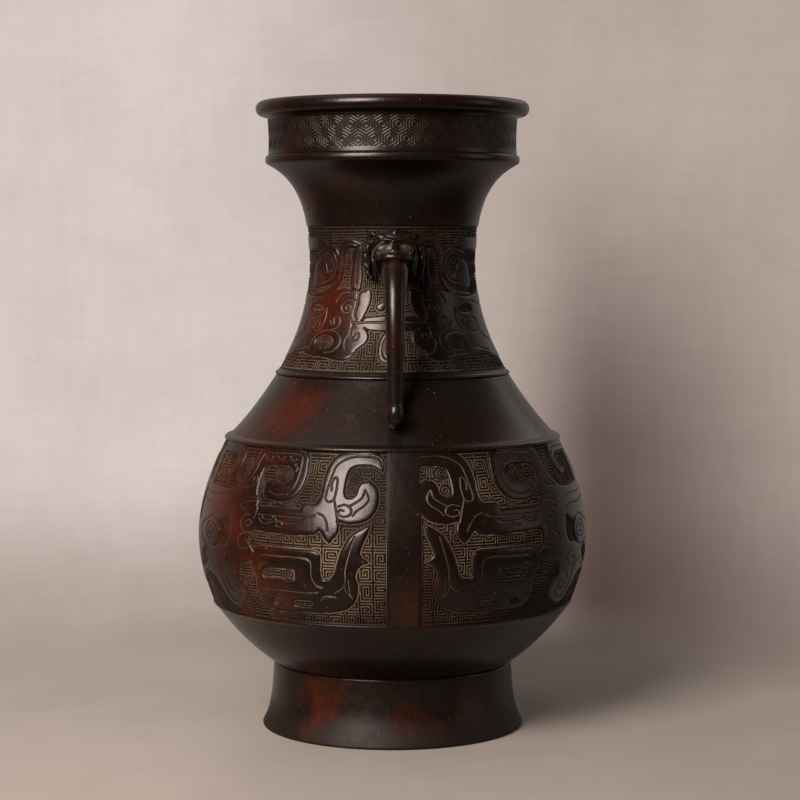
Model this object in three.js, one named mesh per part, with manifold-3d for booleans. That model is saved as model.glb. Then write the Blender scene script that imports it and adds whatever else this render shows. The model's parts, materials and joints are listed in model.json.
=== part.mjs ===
// Hu wine jar in cast bronze: flared foot, full belly, waisted neck, trumpet mouth with an upright
// collar and a rolled lip, and two beast-mask handles whose trunks curl onto the shoulder.
// Millimetres, +Z up. The origin is the centre of the circle that the foot stands on.
// The front handle is on -Y and the rear one on +Y.
//
// The jar is cast in sections. Foot, belly, neck and mouth collar meet in spigot joints behind the
// raised fillets, and a fillet of solder runs round each joint on its hidden side. A plate let in
// from below closes the hole through which the belly's core was taken out. Each handle is a mask
// with a socket for its trunk, riveted through the neck wall, and the trunk's curl is riveted
// through the shoulder.
import * as THREE from "three";
import { mergeVertices } from "three/addons/utils/BufferGeometryUtils.js";
import Module from "manifold-3d";

const wasm = await Module();
wasm.setup();

// Driving dimensions: clearances
const assemblyGap = 0.3; // between two pieces that touch
const cutMargin = 1; // how far a cutting solid runs past the face that it opens

// Driving dimensions: foot ring
const footHeight = 34.5;
const footFloorRadius = 69.4;
const footTopRadius = 63.3;
const footWall = 4.2;
const footEdgeHeight = 2;
const footEdgeRound = 1;

// Driving dimensions: belly section, with heights above the foot joint
const lowerBellyHeight = 31.2;
const lowerBellyTopRadius = 94.3;
const bandFootRadius = 95;
const bellyRadius = 103;
const bellyWidestAbove = 68.5;
const bandTopAbove = 118.4;
const bandTopRadius = 88.3;
const bellyWall = 3;
const carvingDepth = 0.8; // from the raised ornament down to its ground
const borderHeight = 1.6; // plain raised line along the bottom of the ornament band
const shoulderRibHeight = 2.7;
const shoulderRibRaise = 0.7;
const shoulderFootRadius = 85.6;
const shoulderHeight = 31;
const shoulderTopRadius = 61.6;
const dividerWidth = 14; // plain upright strip below each handle
const ornamentTurn = 2.2; // degrees that the belly's ornament is turned away from the handles
const noseWidth = 7; // ridge down the middle of each belly mask
const noseFootAbove = 44;
const noseTopAbove = 108;
const drawnBandHeight = 87.2; // height of the band that its forms are drawn for
const rightDriftLow = 4; // degrees that the low forms right of a handle lie nearer to it
const rightDriftHigh = 3.6; // the same for the high forms

// Driving dimensions: neck section, with heights above its joint with the belly
const neckRibHeight = 2;
const neckRibRaise = 0.5;
const neckFootRadius = 60.5;
const neckRadius = 44.1;
const neckWaistAbove = 60;
const neckWall = 3;
const flareTopAbove = 110;
const flareRadius = 66;
const neckBandTopAbove = 77.7; // top of the neck's ornament
const neckOrnamentTurn = -2.4; // degrees that the neck's ornament is turned away from the handles
const drawnNeckHeight = 75.7; // height of the neck's ornament that its forms are drawn for
const beadHeight = 4.4;
const beadRadius = 66.8;
const beadRound = 0.7;

// Driving dimensions: mouth collar
const collarRadius = 65.5;
const collarHollow = 0.5; // how far the collar's wall draws in halfway up
const collarWall = 4;
const collarHeight = 24.2; // from its seat to the middle of the lip
const lipRadius = 4;
const lipReach = 6.5; // how far the lip overhangs the collar's wall

// Driving dimensions: joints between the sections
const spigotWall = 2.4;
const footSpigotDepth = 6;
const neckSeatWidth = 3.2;
const neckSeatDepth = 5;
const neckSpigotDepth = 7.5;
const collarSpigotHeight = 8;
const solderLeg = 1.6;

// Driving dimensions: base plate
const plateRadius = 46;
const plateThickness = 3;
const plateLedge = 4; // width of the ledge that the plate seats against
const ledgeThickness = 3.4;

// Driving dimensions: handle masks
const maskWidth = 29;
const maskHeight = 28;
const maskReach = 18; // how far the snout stands out from the neck
const maskAbove = 62; // middle of the mask above the neck joint
const eyeRadius = 2.3;
const eyeHollow = 3.2;

// Driving dimensions: handle trunks
const trunkRootRadius = 6.9;
const trunkMiddleRadius = 5.1;
const trunkTipRadius = 3.6;
const trunkBulb = 0.45; // how much the tip swells past its own radius
const trunkSlope = 38; // degrees below level where the trunk leaves the mask
const trunkBow = 27; // pull of the trunk's outward bow
const trunkDrop = 38; // pull of its straight run down to the curl
const curlRadius = 4.4;
const curlSeatAbove = 11.5; // where the curl meets the shoulder, above the shoulder's foot
const curlTurn = 195; // degrees
const tenonRadius = 4.4;
const tenonDepth = 7;

// Driving dimensions: rivets
const maskRivetRadius = 1.9;
const maskRivetHead = 3.8;
const maskRivetGrip = 5; // how deep the shank sits in the mask
const maskRivetSpacing = 13;
const trunkRivetRadius = 1.3;
const trunkRivetHead = 2.8;
const trunkRivetGrip = 2.6;
const rivetDome = 0.5; // height of a head as a share of its radius

// Facets
const bellySteps = 40;
const neckSteps = 36;
const plateSteps = 24;
const rivetSteps = 8;
const trunkSteps = 18;
const curlSteps = 8;
const trunkSides = 10;
const hornSides = 6;

// Heights and radii that follow from them
const bellyFoot = footHeight + assemblyGap;
const lowerBellyTop = bellyFoot + lowerBellyHeight;
const bellyWidest = bellyFoot + bellyWidestAbove;
const bandTop = bellyFoot + bandTopAbove;
const shoulderFoot = bandTop + shoulderRibHeight;
const shoulderTop = shoulderFoot + shoulderHeight;
const neckJoint = shoulderTop + assemblyGap;
const neckRibTop = neckJoint + neckRibHeight;
const neckBandTop = neckJoint + neckBandTopAbove;
const neckWaist = neckJoint + neckWaistAbove;
const flareTop = neckJoint + flareTopAbove;
const beadTop = flareTop + beadHeight;
const collarFoot = beadTop + assemblyGap;
const lipMiddle = collarFoot + collarHeight;
const maskMiddle = neckJoint + maskAbove;
const footSpigotRadius = footTopRadius - footWall - assemblyGap;
const neckBoreRadius = shoulderTopRadius - neckSeatWidth;
const neckSpigotRadius = neckBoreRadius - assemblyGap;
const collarInnerRadius = collarRadius - collarWall;
const collarSpigotRadius = collarInnerRadius - assemblyGap;

// Main forms of the ornament, raised above its ground. A point is an angle in degrees from the
// middle of the handle and a height above the foot of the ornament. Each form is repeated in mirror
// image on the handle's other side, and again round the other handle.
const bellyForms = {
  head: [
    [6.2, 79], [7, 85], [19.2, 86], [23, 80], [24.4, 65], [31, 58.2], [50, 57.5], [50, 48.5],
    [46, 47.6], [26, 47.6], [21, 43.8], [18.5, 54], [12, 54.3], [7.6, 60], [7.3, 67], [10, 73.2],
    [14.6, 65.2], [17.3, 67], [17, 76], [13.5, 81],
  ],
  feather: [
    [9.7, 52], [16.1, 43], [19.1, 28], [24, 24], [45, 21.2], [44.4, 11], [38, 13.7], [18, 13.8],
    [13.3, 19], [13.8, 27], [10.2, 34.5], [12.4, 39],
  ],
  jaw: [
    [21, 20], [23.9, 37.5], [28, 39], [43.5, 39], [46.5, 31], [44.5, 18], [41.5, 18], [42.6, 27],
    [41, 29.7], [31.2, 29.7], [31.2, 20],
  ],
  outerHorn: [
    [30.4, 74], [31, 84], [34, 86.6], [49.6, 86.7], [51.6, 79.5], [59.5, 65], [54, 58], [48, 58],
    [47.4, 77], [44, 80], [36.5, 79.5], [34.6, 75], [37, 71], [43.5, 71], [44.6, 66], [41, 63.1],
    [34, 64.3],
  ],
  face: [
    [59.5, 66.5], [52, 64.5], [46.6, 62], [47.5, 46], [46, 35], [53, 28], [52.5, 20], [50.3, 14],
    [54.8, 7.1], [60, 7.5], [67, 19], [74, 21], [82, 14.5], [91, 10.8], [91, 80], [86, 77],
    [82, 68], [68, 65.2],
  ],
  innerHorn: [
    [59.4, 82], [61, 86.7], [78.5, 86.7], [79.4, 64], [76, 64], [75.9, 82.6], [63, 82.5],
    [62.8, 79], [66.2, 73.6], [64, 71.8], [60.4, 75.6],
  ],
};
const neckForms = {
  horn: [
    [65, 44.3], [46.8, 45.5], [39, 50.5], [37.8, 61.5], [46, 64.6], [91, 64.6], [91, 61], [49.8, 60.8],
    [42.5, 57], [43.5, 51.5], [48.5, 52], [52.8, 57.4], [61.8, 57], [65.8, 49],
  ],
  ribbon: [
    [19.4, 66], [27, 68.2], [35.5, 63], [35.4, 55], [37.6, 47.5], [44, 43], [44, 36], [36, 36],
    [32.5, 56], [28, 64],
  ],
  strap: [[26.2, 60.4], [19.4, 63], [19.4, 38], [25, 38], [27.4, 45.3]],
  body: [
    [91, 39.2], [60, 38.8], [45, 41], [33.8, 43], [21.8, 42.8], [23, 30.2], [21, 25], [15.4, 23.2],
    [13, 18.2], [22.8, 8.4], [31.8, 8.1], [58.8, 11.4], [91, 8.2],
  ],
  leaf: [[24, 41.8], [13, 42.3], [12.6, 38.3], [20.4, 26.3], [24, 31]],
  bars: [[24, 27.5], [-1, 29.2], [-1, 22.8], [24, 22]],
  petal: [[-1, 21.8], [5.1, 17.8], [6.1, 13.3], [-1, 6.4]],
  maskSeat: [[-1, 46.5], [17, 46.5], [17, 74.5], [-1, 74.5]],
};

// Materials
const patinas = {
  brown: new THREE.MeshStandardMaterial({ color: 0x2c1a15, roughness: 0.38, metalness: 0.75 }),
  red: new THREE.MeshStandardMaterial({ color: 0x3a1c14, roughness: 0.34, metalness: 0.75 }),
  dark: new THREE.MeshStandardMaterial({ color: 0x1f1714, roughness: 0.3, metalness: 0.8 }),
  solder: new THREE.MeshStandardMaterial({ color: 0x6d6c69, roughness: 0.55, metalness: 0.7 }),
};

// Profiles: a point is a radius and a height
const at = (radius, height) => new THREE.Vector2(radius, height);

// A curve between two points. Each pull is a share of the way in radius and in height.
function sweep(start, end, firstPull, lastPull, steps) {
  const pulled = ([r, z]) => at(start.x + r * (end.x - start.x), start.y + z * (end.y - start.y));
  return new THREE.CubicBezierCurve(start, pulled(firstPull), pulled(lastPull), end).getPoints(steps);
}

// Radius of a rising profile at a height, carried on straight past its ends.
function radiusAt(profile, height) {
  const above = profile.findIndex((p) => p.y > height);
  const next = above < 0 ? profile.length - 1 : Math.max(above, 1);
  const [a, b] = [profile[next - 1], profile[next]];
  return THREE.MathUtils.mapLinear(height, a.y, b.y, a.x, b.x);
}

// A rising profile moved towards the axis, square to itself, and kept between two heights.
function insideOf(profile, wall, low, high) {
  const moved = profile.map((p, i) => {
    const before = profile[Math.max(i - 1, 0)];
    const after = profile[Math.min(i + 1, profile.length - 1)];
    const along = after.clone().sub(before).normalize();
    return at(p.x - along.y * wall, p.y + along.x * wall);
  });
  const between = moved.filter((p) => p.y > low + 0.5 && p.y < high - 0.5);
  return [at(radiusAt(moved, low), low), ...between, at(radiusAt(moved, high), high)];
}

// Direction out of a rising profile at a height.
function normalAt(profile, height) {
  const slant = radiusAt(profile, height + 1) - radiusAt(profile, height - 1);
  return at(2, -slant).normalize();
}

function footCurve(steps) {
  const start = at(footFloorRadius - 0.3, footEdgeHeight);
  return sweep(start, at(footTopRadius, footHeight), [0.7, 0.18], [0.9, 0.57], steps);
}

function lowerBellyCurve(steps) {
  const start = at(footTopRadius, bellyFoot);
  return sweep(start, at(lowerBellyTopRadius, lowerBellyTop), [0.43, 0.31], [0.69, 0.58], steps);
}

// The ornament band, at the height of its raised parts.
function bandCurve(lowSteps, highSteps) {
  const start = at(bandFootRadius, lowerBellyTop + 0.3);
  const widest = at(bellyRadius, bellyWidest);
  const rise = sweep(start, widest, [0.55, 0.3], [1, 0.6], lowSteps);
  const fall = sweep(widest, at(bandTopRadius, bandTop), [0, 0.4], [0.69, 0.81], highSteps);
  return [...rise, ...fall.slice(1)];
}

function shoulderCurve(steps) {
  const start = at(shoulderFootRadius, shoulderFoot);
  return sweep(start, at(shoulderTopRadius, shoulderTop), [0.33, 0.24], [0.77, 0.71], steps);
}

function neckCurve(lowSteps, highSteps) {
  const waist = at(neckRadius, neckWaist);
  const fall = sweep(at(neckFootRadius, neckRibTop), waist, [0.48, 0.24], [1, 0.53], lowSteps);
  const rise = sweep(waist, at(flareRadius, flareTop), [0, 0.72], [0.57, 0.9], highSteps);
  return [...fall, ...rise.slice(1)];
}

const lowered = (curve, depth) => insideOf(curve, depth, curve[0].y, curve[curve.length - 1].y);

// Solids

// Turns a profile that closes on itself, or that starts and ends on the axis, about +Z.
function turned(profile, steps) {
  const points = profile.map((p) => p.clone());
  if (THREE.ShapeUtils.area(points) < 0) points.reverse();
  if (points.every((p) => p.x > 0)) points.push(points[0].clone());
  return new THREE.LatheGeometry(points, steps).rotateX(Math.PI / 2);
}

function solidOf(geometry) {
  const bare = geometry.clone();
  bare.deleteAttribute("normal");
  bare.deleteAttribute("uv");
  const merged = mergeVertices(bare, 1e-4);
  const corners = merged.index.array;
  const triangles = [];
  for (let i = 0; i < corners.length; i += 3) {
    const [a, b, c] = corners.slice(i, i + 3);
    if (a !== b && b !== c && c !== a) triangles.push(a, b, c);
  }
  return new wasm.Manifold(
    new wasm.Mesh({
      numProp: 3,
      vertProperties: new Float32Array(merged.attributes.position.array),
      triVerts: new Uint32Array(triangles),
    }),
  );
}

function geometryOf(solid) {
  const { vertProperties, triVerts } = solid.getMesh();
  const geometry = new THREE.BufferGeometry();
  geometry.setAttribute("position", new THREE.BufferAttribute(vertProperties, 3));
  geometry.setIndex(new THREE.BufferAttribute(triVerts, 1));
  return geometry.toNonIndexed();
}

const joined = (solids) => solids.reduce((whole, next) => whole.add(next));

const turnedSolid = (profile, steps) => solidOf(turned(profile, steps));

function named(name, solid, patina) {
  const geometry = geometryOf(solid);
  geometry.computeVertexNormals();
  const mesh = new THREE.Mesh(geometry, patina);
  mesh.name = name;
  return mesh;
}

// A round bar from one point to another.
function bar(from, to, radius, sides = rivetSteps) {
  const along = to.clone().sub(from);
  const upright = new THREE.Vector3(0, 1, 0);
  const turn = new THREE.Quaternion().setFromUnitVectors(upright, along.clone().normalize());
  const middle = from.clone().lerp(to, 0.5);
  const round = new THREE.CylinderGeometry(radius, radius, along.length(), sides);
  return solidOf(round.applyQuaternion(turn).translate(middle.x, middle.y, middle.z));
}

// A closed tube along a curve, with a radius for each of its stations and a rounded end.
function horn(curve, radii, sides, endRound = 0.5) {
  const stations = radii.length - 1;
  const frames = curve.computeFrenetFrames(stations);
  const rings = radii.map((radius, i) => ({ middle: curve.getPointAt(i / stations), radius, i }));
  const last = rings[stations];
  const tip = last.middle.clone().addScaledVector(frames.tangents[stations], last.radius * endRound);
  const positions = [...rings[0].middle.toArray(), ...tip.toArray()];
  for (const { middle, radius, i } of rings) {
    for (let side = 0; side < sides; side += 1) {
      const turn = (2 * Math.PI * side) / sides;
      const spoke = frames.normals[i].clone().multiplyScalar(Math.cos(turn));
      spoke.addScaledVector(frames.binormals[i], Math.sin(turn));
      positions.push(...middle.clone().addScaledVector(spoke, radius).toArray());
    }
  }
  const corner = (ring, side) => 2 + ring * sides + (side % sides);
  const faces = [];
  for (let side = 0; side < sides; side += 1) {
    faces.push(0, corner(0, side + 1), corner(0, side));
    faces.push(1, corner(stations, side), corner(stations, side + 1));
    for (let ring = 0; ring < stations; ring += 1) {
      const [a, b] = [corner(ring, side), corner(ring, side + 1)];
      const [c, d] = [corner(ring + 1, side), corner(ring + 1, side + 1)];
      faces.push(a, b, d, a, d, c);
    }
  }
  const geometry = new THREE.BufferGeometry();
  geometry.setAttribute("position", new THREE.Float32BufferAttribute(positions, 3));
  geometry.setIndex(faces);
  return solidOf(geometry);
}

function egg(middle, [width, reach, height], across = 12, down = 8) {
  const round = new THREE.SphereGeometry(1, across, down);
  return solidOf(round.scale(width, reach, height).translate(middle.x, middle.y, middle.z));
}

// A block behind an outline of angles and heights, with walls that run out from the axis.
function blockBehind(outline, innermost, outermost) {
  const points = outline.map(([turn, height]) => at(turn, height));
  if (THREE.ShapeUtils.isClockWise(points)) points.reverse();
  const ring = (radius) =>
    points.flatMap(({ x, y }) => {
      const turn = THREE.MathUtils.degToRad(x);
      return [radius * Math.sin(turn), -radius * Math.cos(turn), y];
    });
  const count = points.length;
  const caps = THREE.ShapeUtils.triangulateShape(points, []);
  const faces = caps.flatMap(([a, b, c]) => [a, c, b, a + count, b + count, c + count]);
  for (let i = 0; i < count; i += 1) {
    const next = (i + 1) % count;
    faces.push(i, next, next + count, i, next + count, i + count);
  }
  const positions = [...ring(innermost), ...ring(outermost)];
  const geometry = new THREE.BufferGeometry();
  geometry.setAttribute("position", new THREE.Float32BufferAttribute(positions, 3));
  geometry.setIndex(faces);
  return solidOf(geometry);
}

// Blocks behind forms on both sides of the front handle. The right ones can lie nearer to it.
function blocksBehind(forms, foot, stretch, [innermost, outermost], drift = () => 0) {
  const block = (outline, side, moved) => {
    const places = outline.map(([turn, height]) => [
      side * (turn - moved(turn, height)),
      foot + height * stretch,
    ]);
    return blockBehind(places, innermost, outermost);
  };
  return joined(
    Object.values(forms).flatMap((outline) => [block(outline, -1, () => 0), block(outline, 1, drift)]),
  );
}

// The jar's sections

function footRing() {
  const outside = footCurve(6);
  const inside = insideOf(footCurve(3), footWall, footEdgeHeight, footHeight);
  const floorInner = inside[0].x;
  return turnedSolid(
    [
      at(floorInner, 0),
      at(footFloorRadius - footEdgeRound, 0),
      at(footFloorRadius, footEdgeRound),
      ...outside,
      at(footTopRadius - footWall, footHeight),
      ...inside.slice(0, -1).reverse(),
    ],
    neckSteps,
  );
}

const plateTop = bellyFoot + plateThickness;
const floorTop = plateTop + assemblyGap + ledgeThickness;
const coreHoleRadius = plateRadius - plateLedge;
const neckBoreFoot = shoulderTop - neckSeatDepth;
const innerBelly = insideOf(
  [...lowerBellyCurve(3), ...bandCurve(3, 3), ...shoulderCurve(3)],
  bellyWall + carvingDepth,
  floorTop,
  neckBoreFoot,
);

// How much nearer to the handle a form on its right lies, in degrees.
function rightDrift(turn, height) {
  const { lerp, smoothstep } = THREE.MathUtils;
  const low = rightDriftLow * (1 - smoothstep(turn, 40, 54));
  const high = rightDriftHigh * (1 - smoothstep(turn, 0, 50));
  return lerp(low, high, smoothstep(height, 46, 56));
}

// The belly without its rivet holes: ground, bottom border, dividers, nose ridges and main forms.
function bellyShell() {
  const raised = bandCurve(5, 6);
  const ground = lowered(raised, carvingDepth);
  const borderTop = lowerBellyTop + borderHeight;
  const shell = turnedSolid(
    [
      ...lowerBellyCurve(6),
      raised[0],
      at(radiusAt(raised, borderTop), borderTop),
      ...ground.filter((p) => p.y > borderTop),
      at(bandTopRadius + shoulderRibRaise, bandTop + 0.3),
      at(bandTopRadius - 1, shoulderFoot - 0.3),
      ...shoulderCurve(5),
      at(neckBoreRadius, shoulderTop),
      at(neckBoreRadius, neckBoreFoot),
      ...innerBelly.slice().reverse(),
      at(coreHoleRadius, floorTop),
      at(coreHoleRadius, plateTop + assemblyGap),
      at(plateRadius + assemblyGap, plateTop + assemblyGap),
      at(plateRadius + assemblyGap, bellyFoot),
      at(footSpigotRadius - spigotWall, bellyFoot),
      at(footSpigotRadius - spigotWall, bellyFoot - footSpigotDepth),
      at(footSpigotRadius, bellyFoot - footSpigotDepth),
      at(footSpigotRadius, bellyFoot),
    ],
    bellySteps,
  );
  const inner = insideOf(raised, carvingDepth + bellyWall / 2, raised[0].y + 1, bandTop);
  const strips = turnedSolid([...raised, ...inner.reverse()], bellySteps);
  const across = 2 * bellyRadius + cutMargin;
  const divider = new THREE.BoxGeometry(dividerWidth, across, 2 * bandTop);
  const nose = new THREE.BoxGeometry(across, noseWidth, noseTopAbove - noseFootAbove);
  nose.translate(0, 0, bellyFoot + (noseTopAbove + noseFootAbove) / 2);
  const stretch = (bandTop - lowerBellyTop) / drawnBandHeight;
  const reach = [0.88 * bandTopRadius, 1.15 * bellyRadius];
  const forms = bothSides(blocksBehind(bellyForms, lowerBellyTop, stretch, reach, rightDrift));
  const raisedParts = joined([solidOf(divider), solidOf(nose), forms]).rotate([0, 0, ornamentTurn]);
  return shell.add(strips.intersect(raisedParts));
}

const neckOutside = neckCurve(6, 8);
const neckInside = insideOf(neckCurve(4, 6), neckWall, neckRibTop + neckWall, flareTop - beadRound);

const neckGround = insideOf(neckOutside, carvingDepth, neckRibTop, neckBandTop);

// The neck without its rivet holes.
function neckShell() {
  const narrow = neckInside.filter((p) => p.x < neckSpigotRadius - spigotWall || p.y > neckWaist);
  const bore = narrow.filter((p) => p.x < collarSpigotRadius - spigotWall || p.y < neckWaist);
  const spigotInner = at(neckSpigotRadius - spigotWall, bore[0].y - cutMargin);
  const mouthInner = at(collarSpigotRadius - spigotWall, bore[bore.length - 1].y + cutMargin);
  const shell = turnedSolid(
    [
      at(shoulderTopRadius, neckJoint),
      at(shoulderTopRadius + neckRibRaise, neckJoint + 0.3),
      at(shoulderTopRadius - neckRibRaise, neckRibTop - 0.1),
      ...neckGround,
      at(radiusAt(neckOutside, neckBandTop), neckBandTop),
      ...neckOutside.filter((p) => p.y > neckBandTop + 1),
      at(beadRadius, flareTop + beadRound),
      at(beadRadius, beadTop - beadRound),
      at(beadRadius - beadRound, beadTop),
      at(collarSpigotRadius, beadTop),
      at(collarSpigotRadius, beadTop + collarSpigotHeight),
      at(collarSpigotRadius - spigotWall, beadTop + collarSpigotHeight),
      mouthInner,
      ...bore.reverse(),
      spigotInner,
      at(neckSpigotRadius - spigotWall, neckJoint - neckSpigotDepth),
      at(neckSpigotRadius, neckJoint - neckSpigotDepth),
      at(neckSpigotRadius, neckJoint),
    ],
    neckSteps,
  );
  const raised = [
    at(radiusAt(neckOutside, neckRibTop), neckRibTop),
    ...neckOutside.filter((p) => p.y > neckRibTop && p.y < neckBandTop),
    at(radiusAt(neckOutside, neckBandTop), neckBandTop),
  ];
  const inner = insideOf(neckOutside, carvingDepth + neckWall / 3, neckRibTop, neckBandTop);
  const strips = turnedSolid([...raised, ...inner.reverse()], neckSteps);
  const stretch = (neckBandTop - neckRibTop) / drawnNeckHeight;
  const reach = [0.88 * neckRadius, 1.4 * neckFootRadius];
  const forms = bothSides(blocksBehind(neckForms, neckRibTop, stretch, reach));
  return shell.add(strips.intersect(forms.rotate([0, 0, neckOrnamentTurn])));
}

function mouthCollar() {
  const middle = at(collarRadius + lipReach - lipRadius, lipMiddle);
  const lip = [-120, -85, -50, -20, 0, 25, 55, 85, 112].map((degrees) => {
    const turn = THREE.MathUtils.degToRad(degrees);
    return at(middle.x + lipRadius * Math.cos(turn), middle.y + lipRadius * Math.sin(turn));
  });
  const innerTop = at(collarInnerRadius, lipMiddle - lipRadius);
  const wallTop = at(collarRadius + 0.3, lipMiddle - lipRadius - 1);
  const wallMiddle = at(collarRadius - collarHollow, (collarFoot + wallTop.y) / 2);
  const mouth = sweep(lip[lip.length - 1], innerTop, [0.6, 0.05], [1, 0.5], 4);
  return turnedSolid(
    [
      at(collarInnerRadius, collarFoot),
      at(collarRadius, collarFoot),
      wallMiddle,
      wallTop,
      ...lip,
      ...mouth.slice(1),
    ],
    neckSteps,
  );
}

function basePlate() {
  const edge = at(plateRadius, bellyFoot);
  return turnedSolid([at(0, bellyFoot), edge, at(plateRadius, plateTop), at(0, plateTop)], plateSteps);
}

// A ring of solder in a corner, with one leg along each of the corner's two faces.
function solderRing(corner, inward, upward) {
  const level = at(corner.x + inward * solderLeg, corner.y);
  const upright = at(corner.x, corner.y + upward * solderLeg);
  return turnedSolid([corner, level, upright], neckSteps);
}

// The handles, built for the front of the jar

const spot = (across, out, height) => new THREE.Vector3(across, -out, height);

// A place on a mask, as shares of its half width, its reach and its half height.
function onMask(across, out, height) {
  const neck = radiusAt(neckOutside, maskMiddle);
  return spot((across * maskWidth) / 2, neck + out * maskReach, maskMiddle + (height * maskHeight) / 2);
}

function smooth(places) {
  const points = places.map((place) => onMask(...place));
  return new THREE.CatmullRomCurve3(points, false, "centripetal");
}

const slope = THREE.MathUtils.degToRad(trunkSlope);
const trunkLeaves = spot(0, Math.cos(slope), -Math.sin(slope));
const trunkRoot = onMask(0, 1, -0.32);
const shoulderOutside = shoulderCurve(12);
const curlSeatHeight = shoulderFoot + curlSeatAbove;
const curlSeatRadius = radiusAt(shoulderOutside, curlSeatHeight);
const curlSeatNormal = normalAt(shoulderOutside, curlSeatHeight);
const offShoulder = (distance) => {
  const away = at(curlSeatRadius, curlSeatHeight).addScaledVector(curlSeatNormal, distance);
  return spot(0, away.x, away.y);
};

function maskSolid() {
  const half = [maskWidth / 2, maskReach, maskHeight / 2];
  const shaped = (place, shares) => egg(onMask(...place), shares.map((share, i) => share * half[i]));
  const snout = smooth([[0, 0.3, 0.1], [0, 0.72, -0.06], [0, 1.04, -0.36]]);
  const nose = smooth([[0, 0.86, 0.5], [0, 1.03, 0.3], [0, 1.16, -0.02]]);
  const tuft = smooth([[0, 0.78, 0.62], [0, 0.74, 0.84], [0, 0.58, 1.02]]);
  const pieces = [
    shaped([0, 0.04, 0.1], [0.84, 0.4, 0.84]),
    shaped([0, 0.4, 0.24], [0.68, 0.52, 0.7]),
    shaped([0, 0.86, -0.1], [0.54, 0.34, 0.24]),
    horn(snout, [8.4, 8.6, 8.4, 7.8], 12, 0),
    horn(nose, [1.4, 2, 1.9, 1.5], hornSides),
    horn(tuft, [2.2, 2, 0.6], hornSides),
  ];
  for (const side of [-1, 1]) {
    const mirrored = (places) => smooth(places.map(([across, ...rest]) => [side * across, ...rest]));
    const brow = mirrored([[0.06, 0.96, 0.46], [0.4, 0.94, 0.6], [0.68, 0.7, 0.48], [0.76, 0.5, 0.12]]);
    const ear = mirrored([[0.36, 0.6, 0.62], [0.62, 0.44, 0.8], [0.86, 0.3, 0.74]]);
    const mane = mirrored([[0.56, 0.42, 0.42], [0.86, 0.26, 0.2], [0.84, 0.2, -0.4], [0.58, 0.2, -0.98]]);
    const lock = mirrored([[0.6, 0.5, 0.02], [0.84, 0.4, -0.26], [0.72, 0.4, -0.56], [0.52, 0.44, -0.4]]);
    pieces.push(
      horn(brow, [0.9, 1.6, 1.9, 1.5, 0.9], hornSides),
      horn(ear, [2.4, 2.2, 1.6], hornSides),
      horn(mane, [1.6, 2.3, 2.5, 2.3, 1.7, 0.6], hornSides),
      horn(lock, [1.7, 1.8, 1.6, 1.3, 0.9], hornSides),
    );
  }
  const hollow = (side) => egg(onMask(side * 0.38, 1, 0.18), [eyeHollow, 2.6, eyeHollow * 0.75], 8, 6);
  const eye = (side) => egg(onMask(side * 0.38, 0.86, 0.18), [eyeRadius, 1.6, eyeRadius * 0.75], 8, 6);
  const hollows = hollow(-1).add(hollow(1));
  return joined([joined(pieces).subtract(hollows), eye(-1), eye(1)]);
}

// What a mask must stay clear of: the neck, the trunk's root face and tenon.
function maskCutters() {
  const low = maskMiddle - maskHeight;
  const high = maskMiddle + maskHeight;
  const neck = neckOutside.filter((p) => p.y > low && p.y < high).map((p) => at(p.x + assemblyGap, p.y));
  const [foot, top] = [neck[0], neck[neck.length - 1]];
  const plug = turnedSolid([at(0, foot.y), ...neck, at(0, top.y)], neckSteps);
  const seat = trunkRoot.clone().addScaledVector(trunkLeaves, -assemblyGap);
  const beyond = trunkRoot.clone().addScaledVector(trunkLeaves, 2 * tenonDepth);
  const socketEnd = trunkRoot.clone().addScaledVector(trunkLeaves, -tenonDepth - assemblyGap);
  const trunkSpace = bar(seat, beyond, 2 * trunkRootRadius, 16);
  const socket = bar(socketEnd, beyond, tenonRadius + assemblyGap, 12);
  return [plug, trunkSpace, socket];
}

function trunkSolid() {
  const centre = offShoulder(assemblyGap + trunkTipRadius + curlRadius);
  const curlStart = centre.clone().add(spot(0, -curlRadius, 0));
  const bow = new THREE.CubicBezierCurve3(
    trunkRoot,
    trunkRoot.clone().addScaledVector(trunkLeaves, trunkBow),
    curlStart.clone().add(spot(0, 0, trunkDrop)),
    curlStart,
  );
  const places = bow.getSpacedPoints(trunkSteps);
  for (let i = 1; i <= curlSteps; i += 1) {
    const turn = THREE.MathUtils.degToRad((curlTurn * i) / curlSteps);
    places.push(centre.clone().add(spot(0, -curlRadius * Math.cos(turn), -curlRadius * Math.sin(turn))));
  }
  const path = new THREE.CatmullRomCurve3(places, false, "centripetal");
  const stations = trunkSteps + curlSteps;
  const radii = Array.from({ length: stations + 1 }, (_, i) => {
    const way = i / stations;
    const flare = (trunkRootRadius - trunkMiddleRadius) * Math.exp(-9 * way);
    const bulb = trunkBulb * Math.exp(-(((way - 0.96) / 0.06) ** 2));
    return THREE.MathUtils.lerp(trunkMiddleRadius, trunkTipRadius, way) + flare + bulb;
  });
  const tenonEnd = trunkRoot.clone().addScaledVector(trunkLeaves, -tenonDepth);
  const tenonStart = trunkRoot.clone().addScaledVector(trunkLeaves, cutMargin);
  return horn(path, radii, trunkSides, 0.7).add(bar(tenonEnd, tenonStart, tenonRadius, 12));
}

// A rivet with a domed head on the inside of a wall. Its shank starts under the head.
function rivet(headFace, direction, length, radius, headRadius) {
  const dome = [0, 30, 60, 90].map((turn) => {
    const angle = THREE.MathUtils.degToRad(turn);
    return at(headRadius * Math.cos(angle), -rivetDome * headRadius * Math.sin(angle));
  });
  const tip = [at(0, length), at(radius, length), at(radius, 0)];
  const profile = [...tip, ...dome.slice(0, -1), at(0, -rivetDome * headRadius)];
  const turn = new THREE.Quaternion().setFromUnitVectors(new THREE.Vector3(0, 0, 1), direction);
  const whole = turned(profile, rivetSteps).applyQuaternion(turn);
  return solidOf(whole.translate(headFace.x, headFace.y, headFace.z));
}

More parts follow.
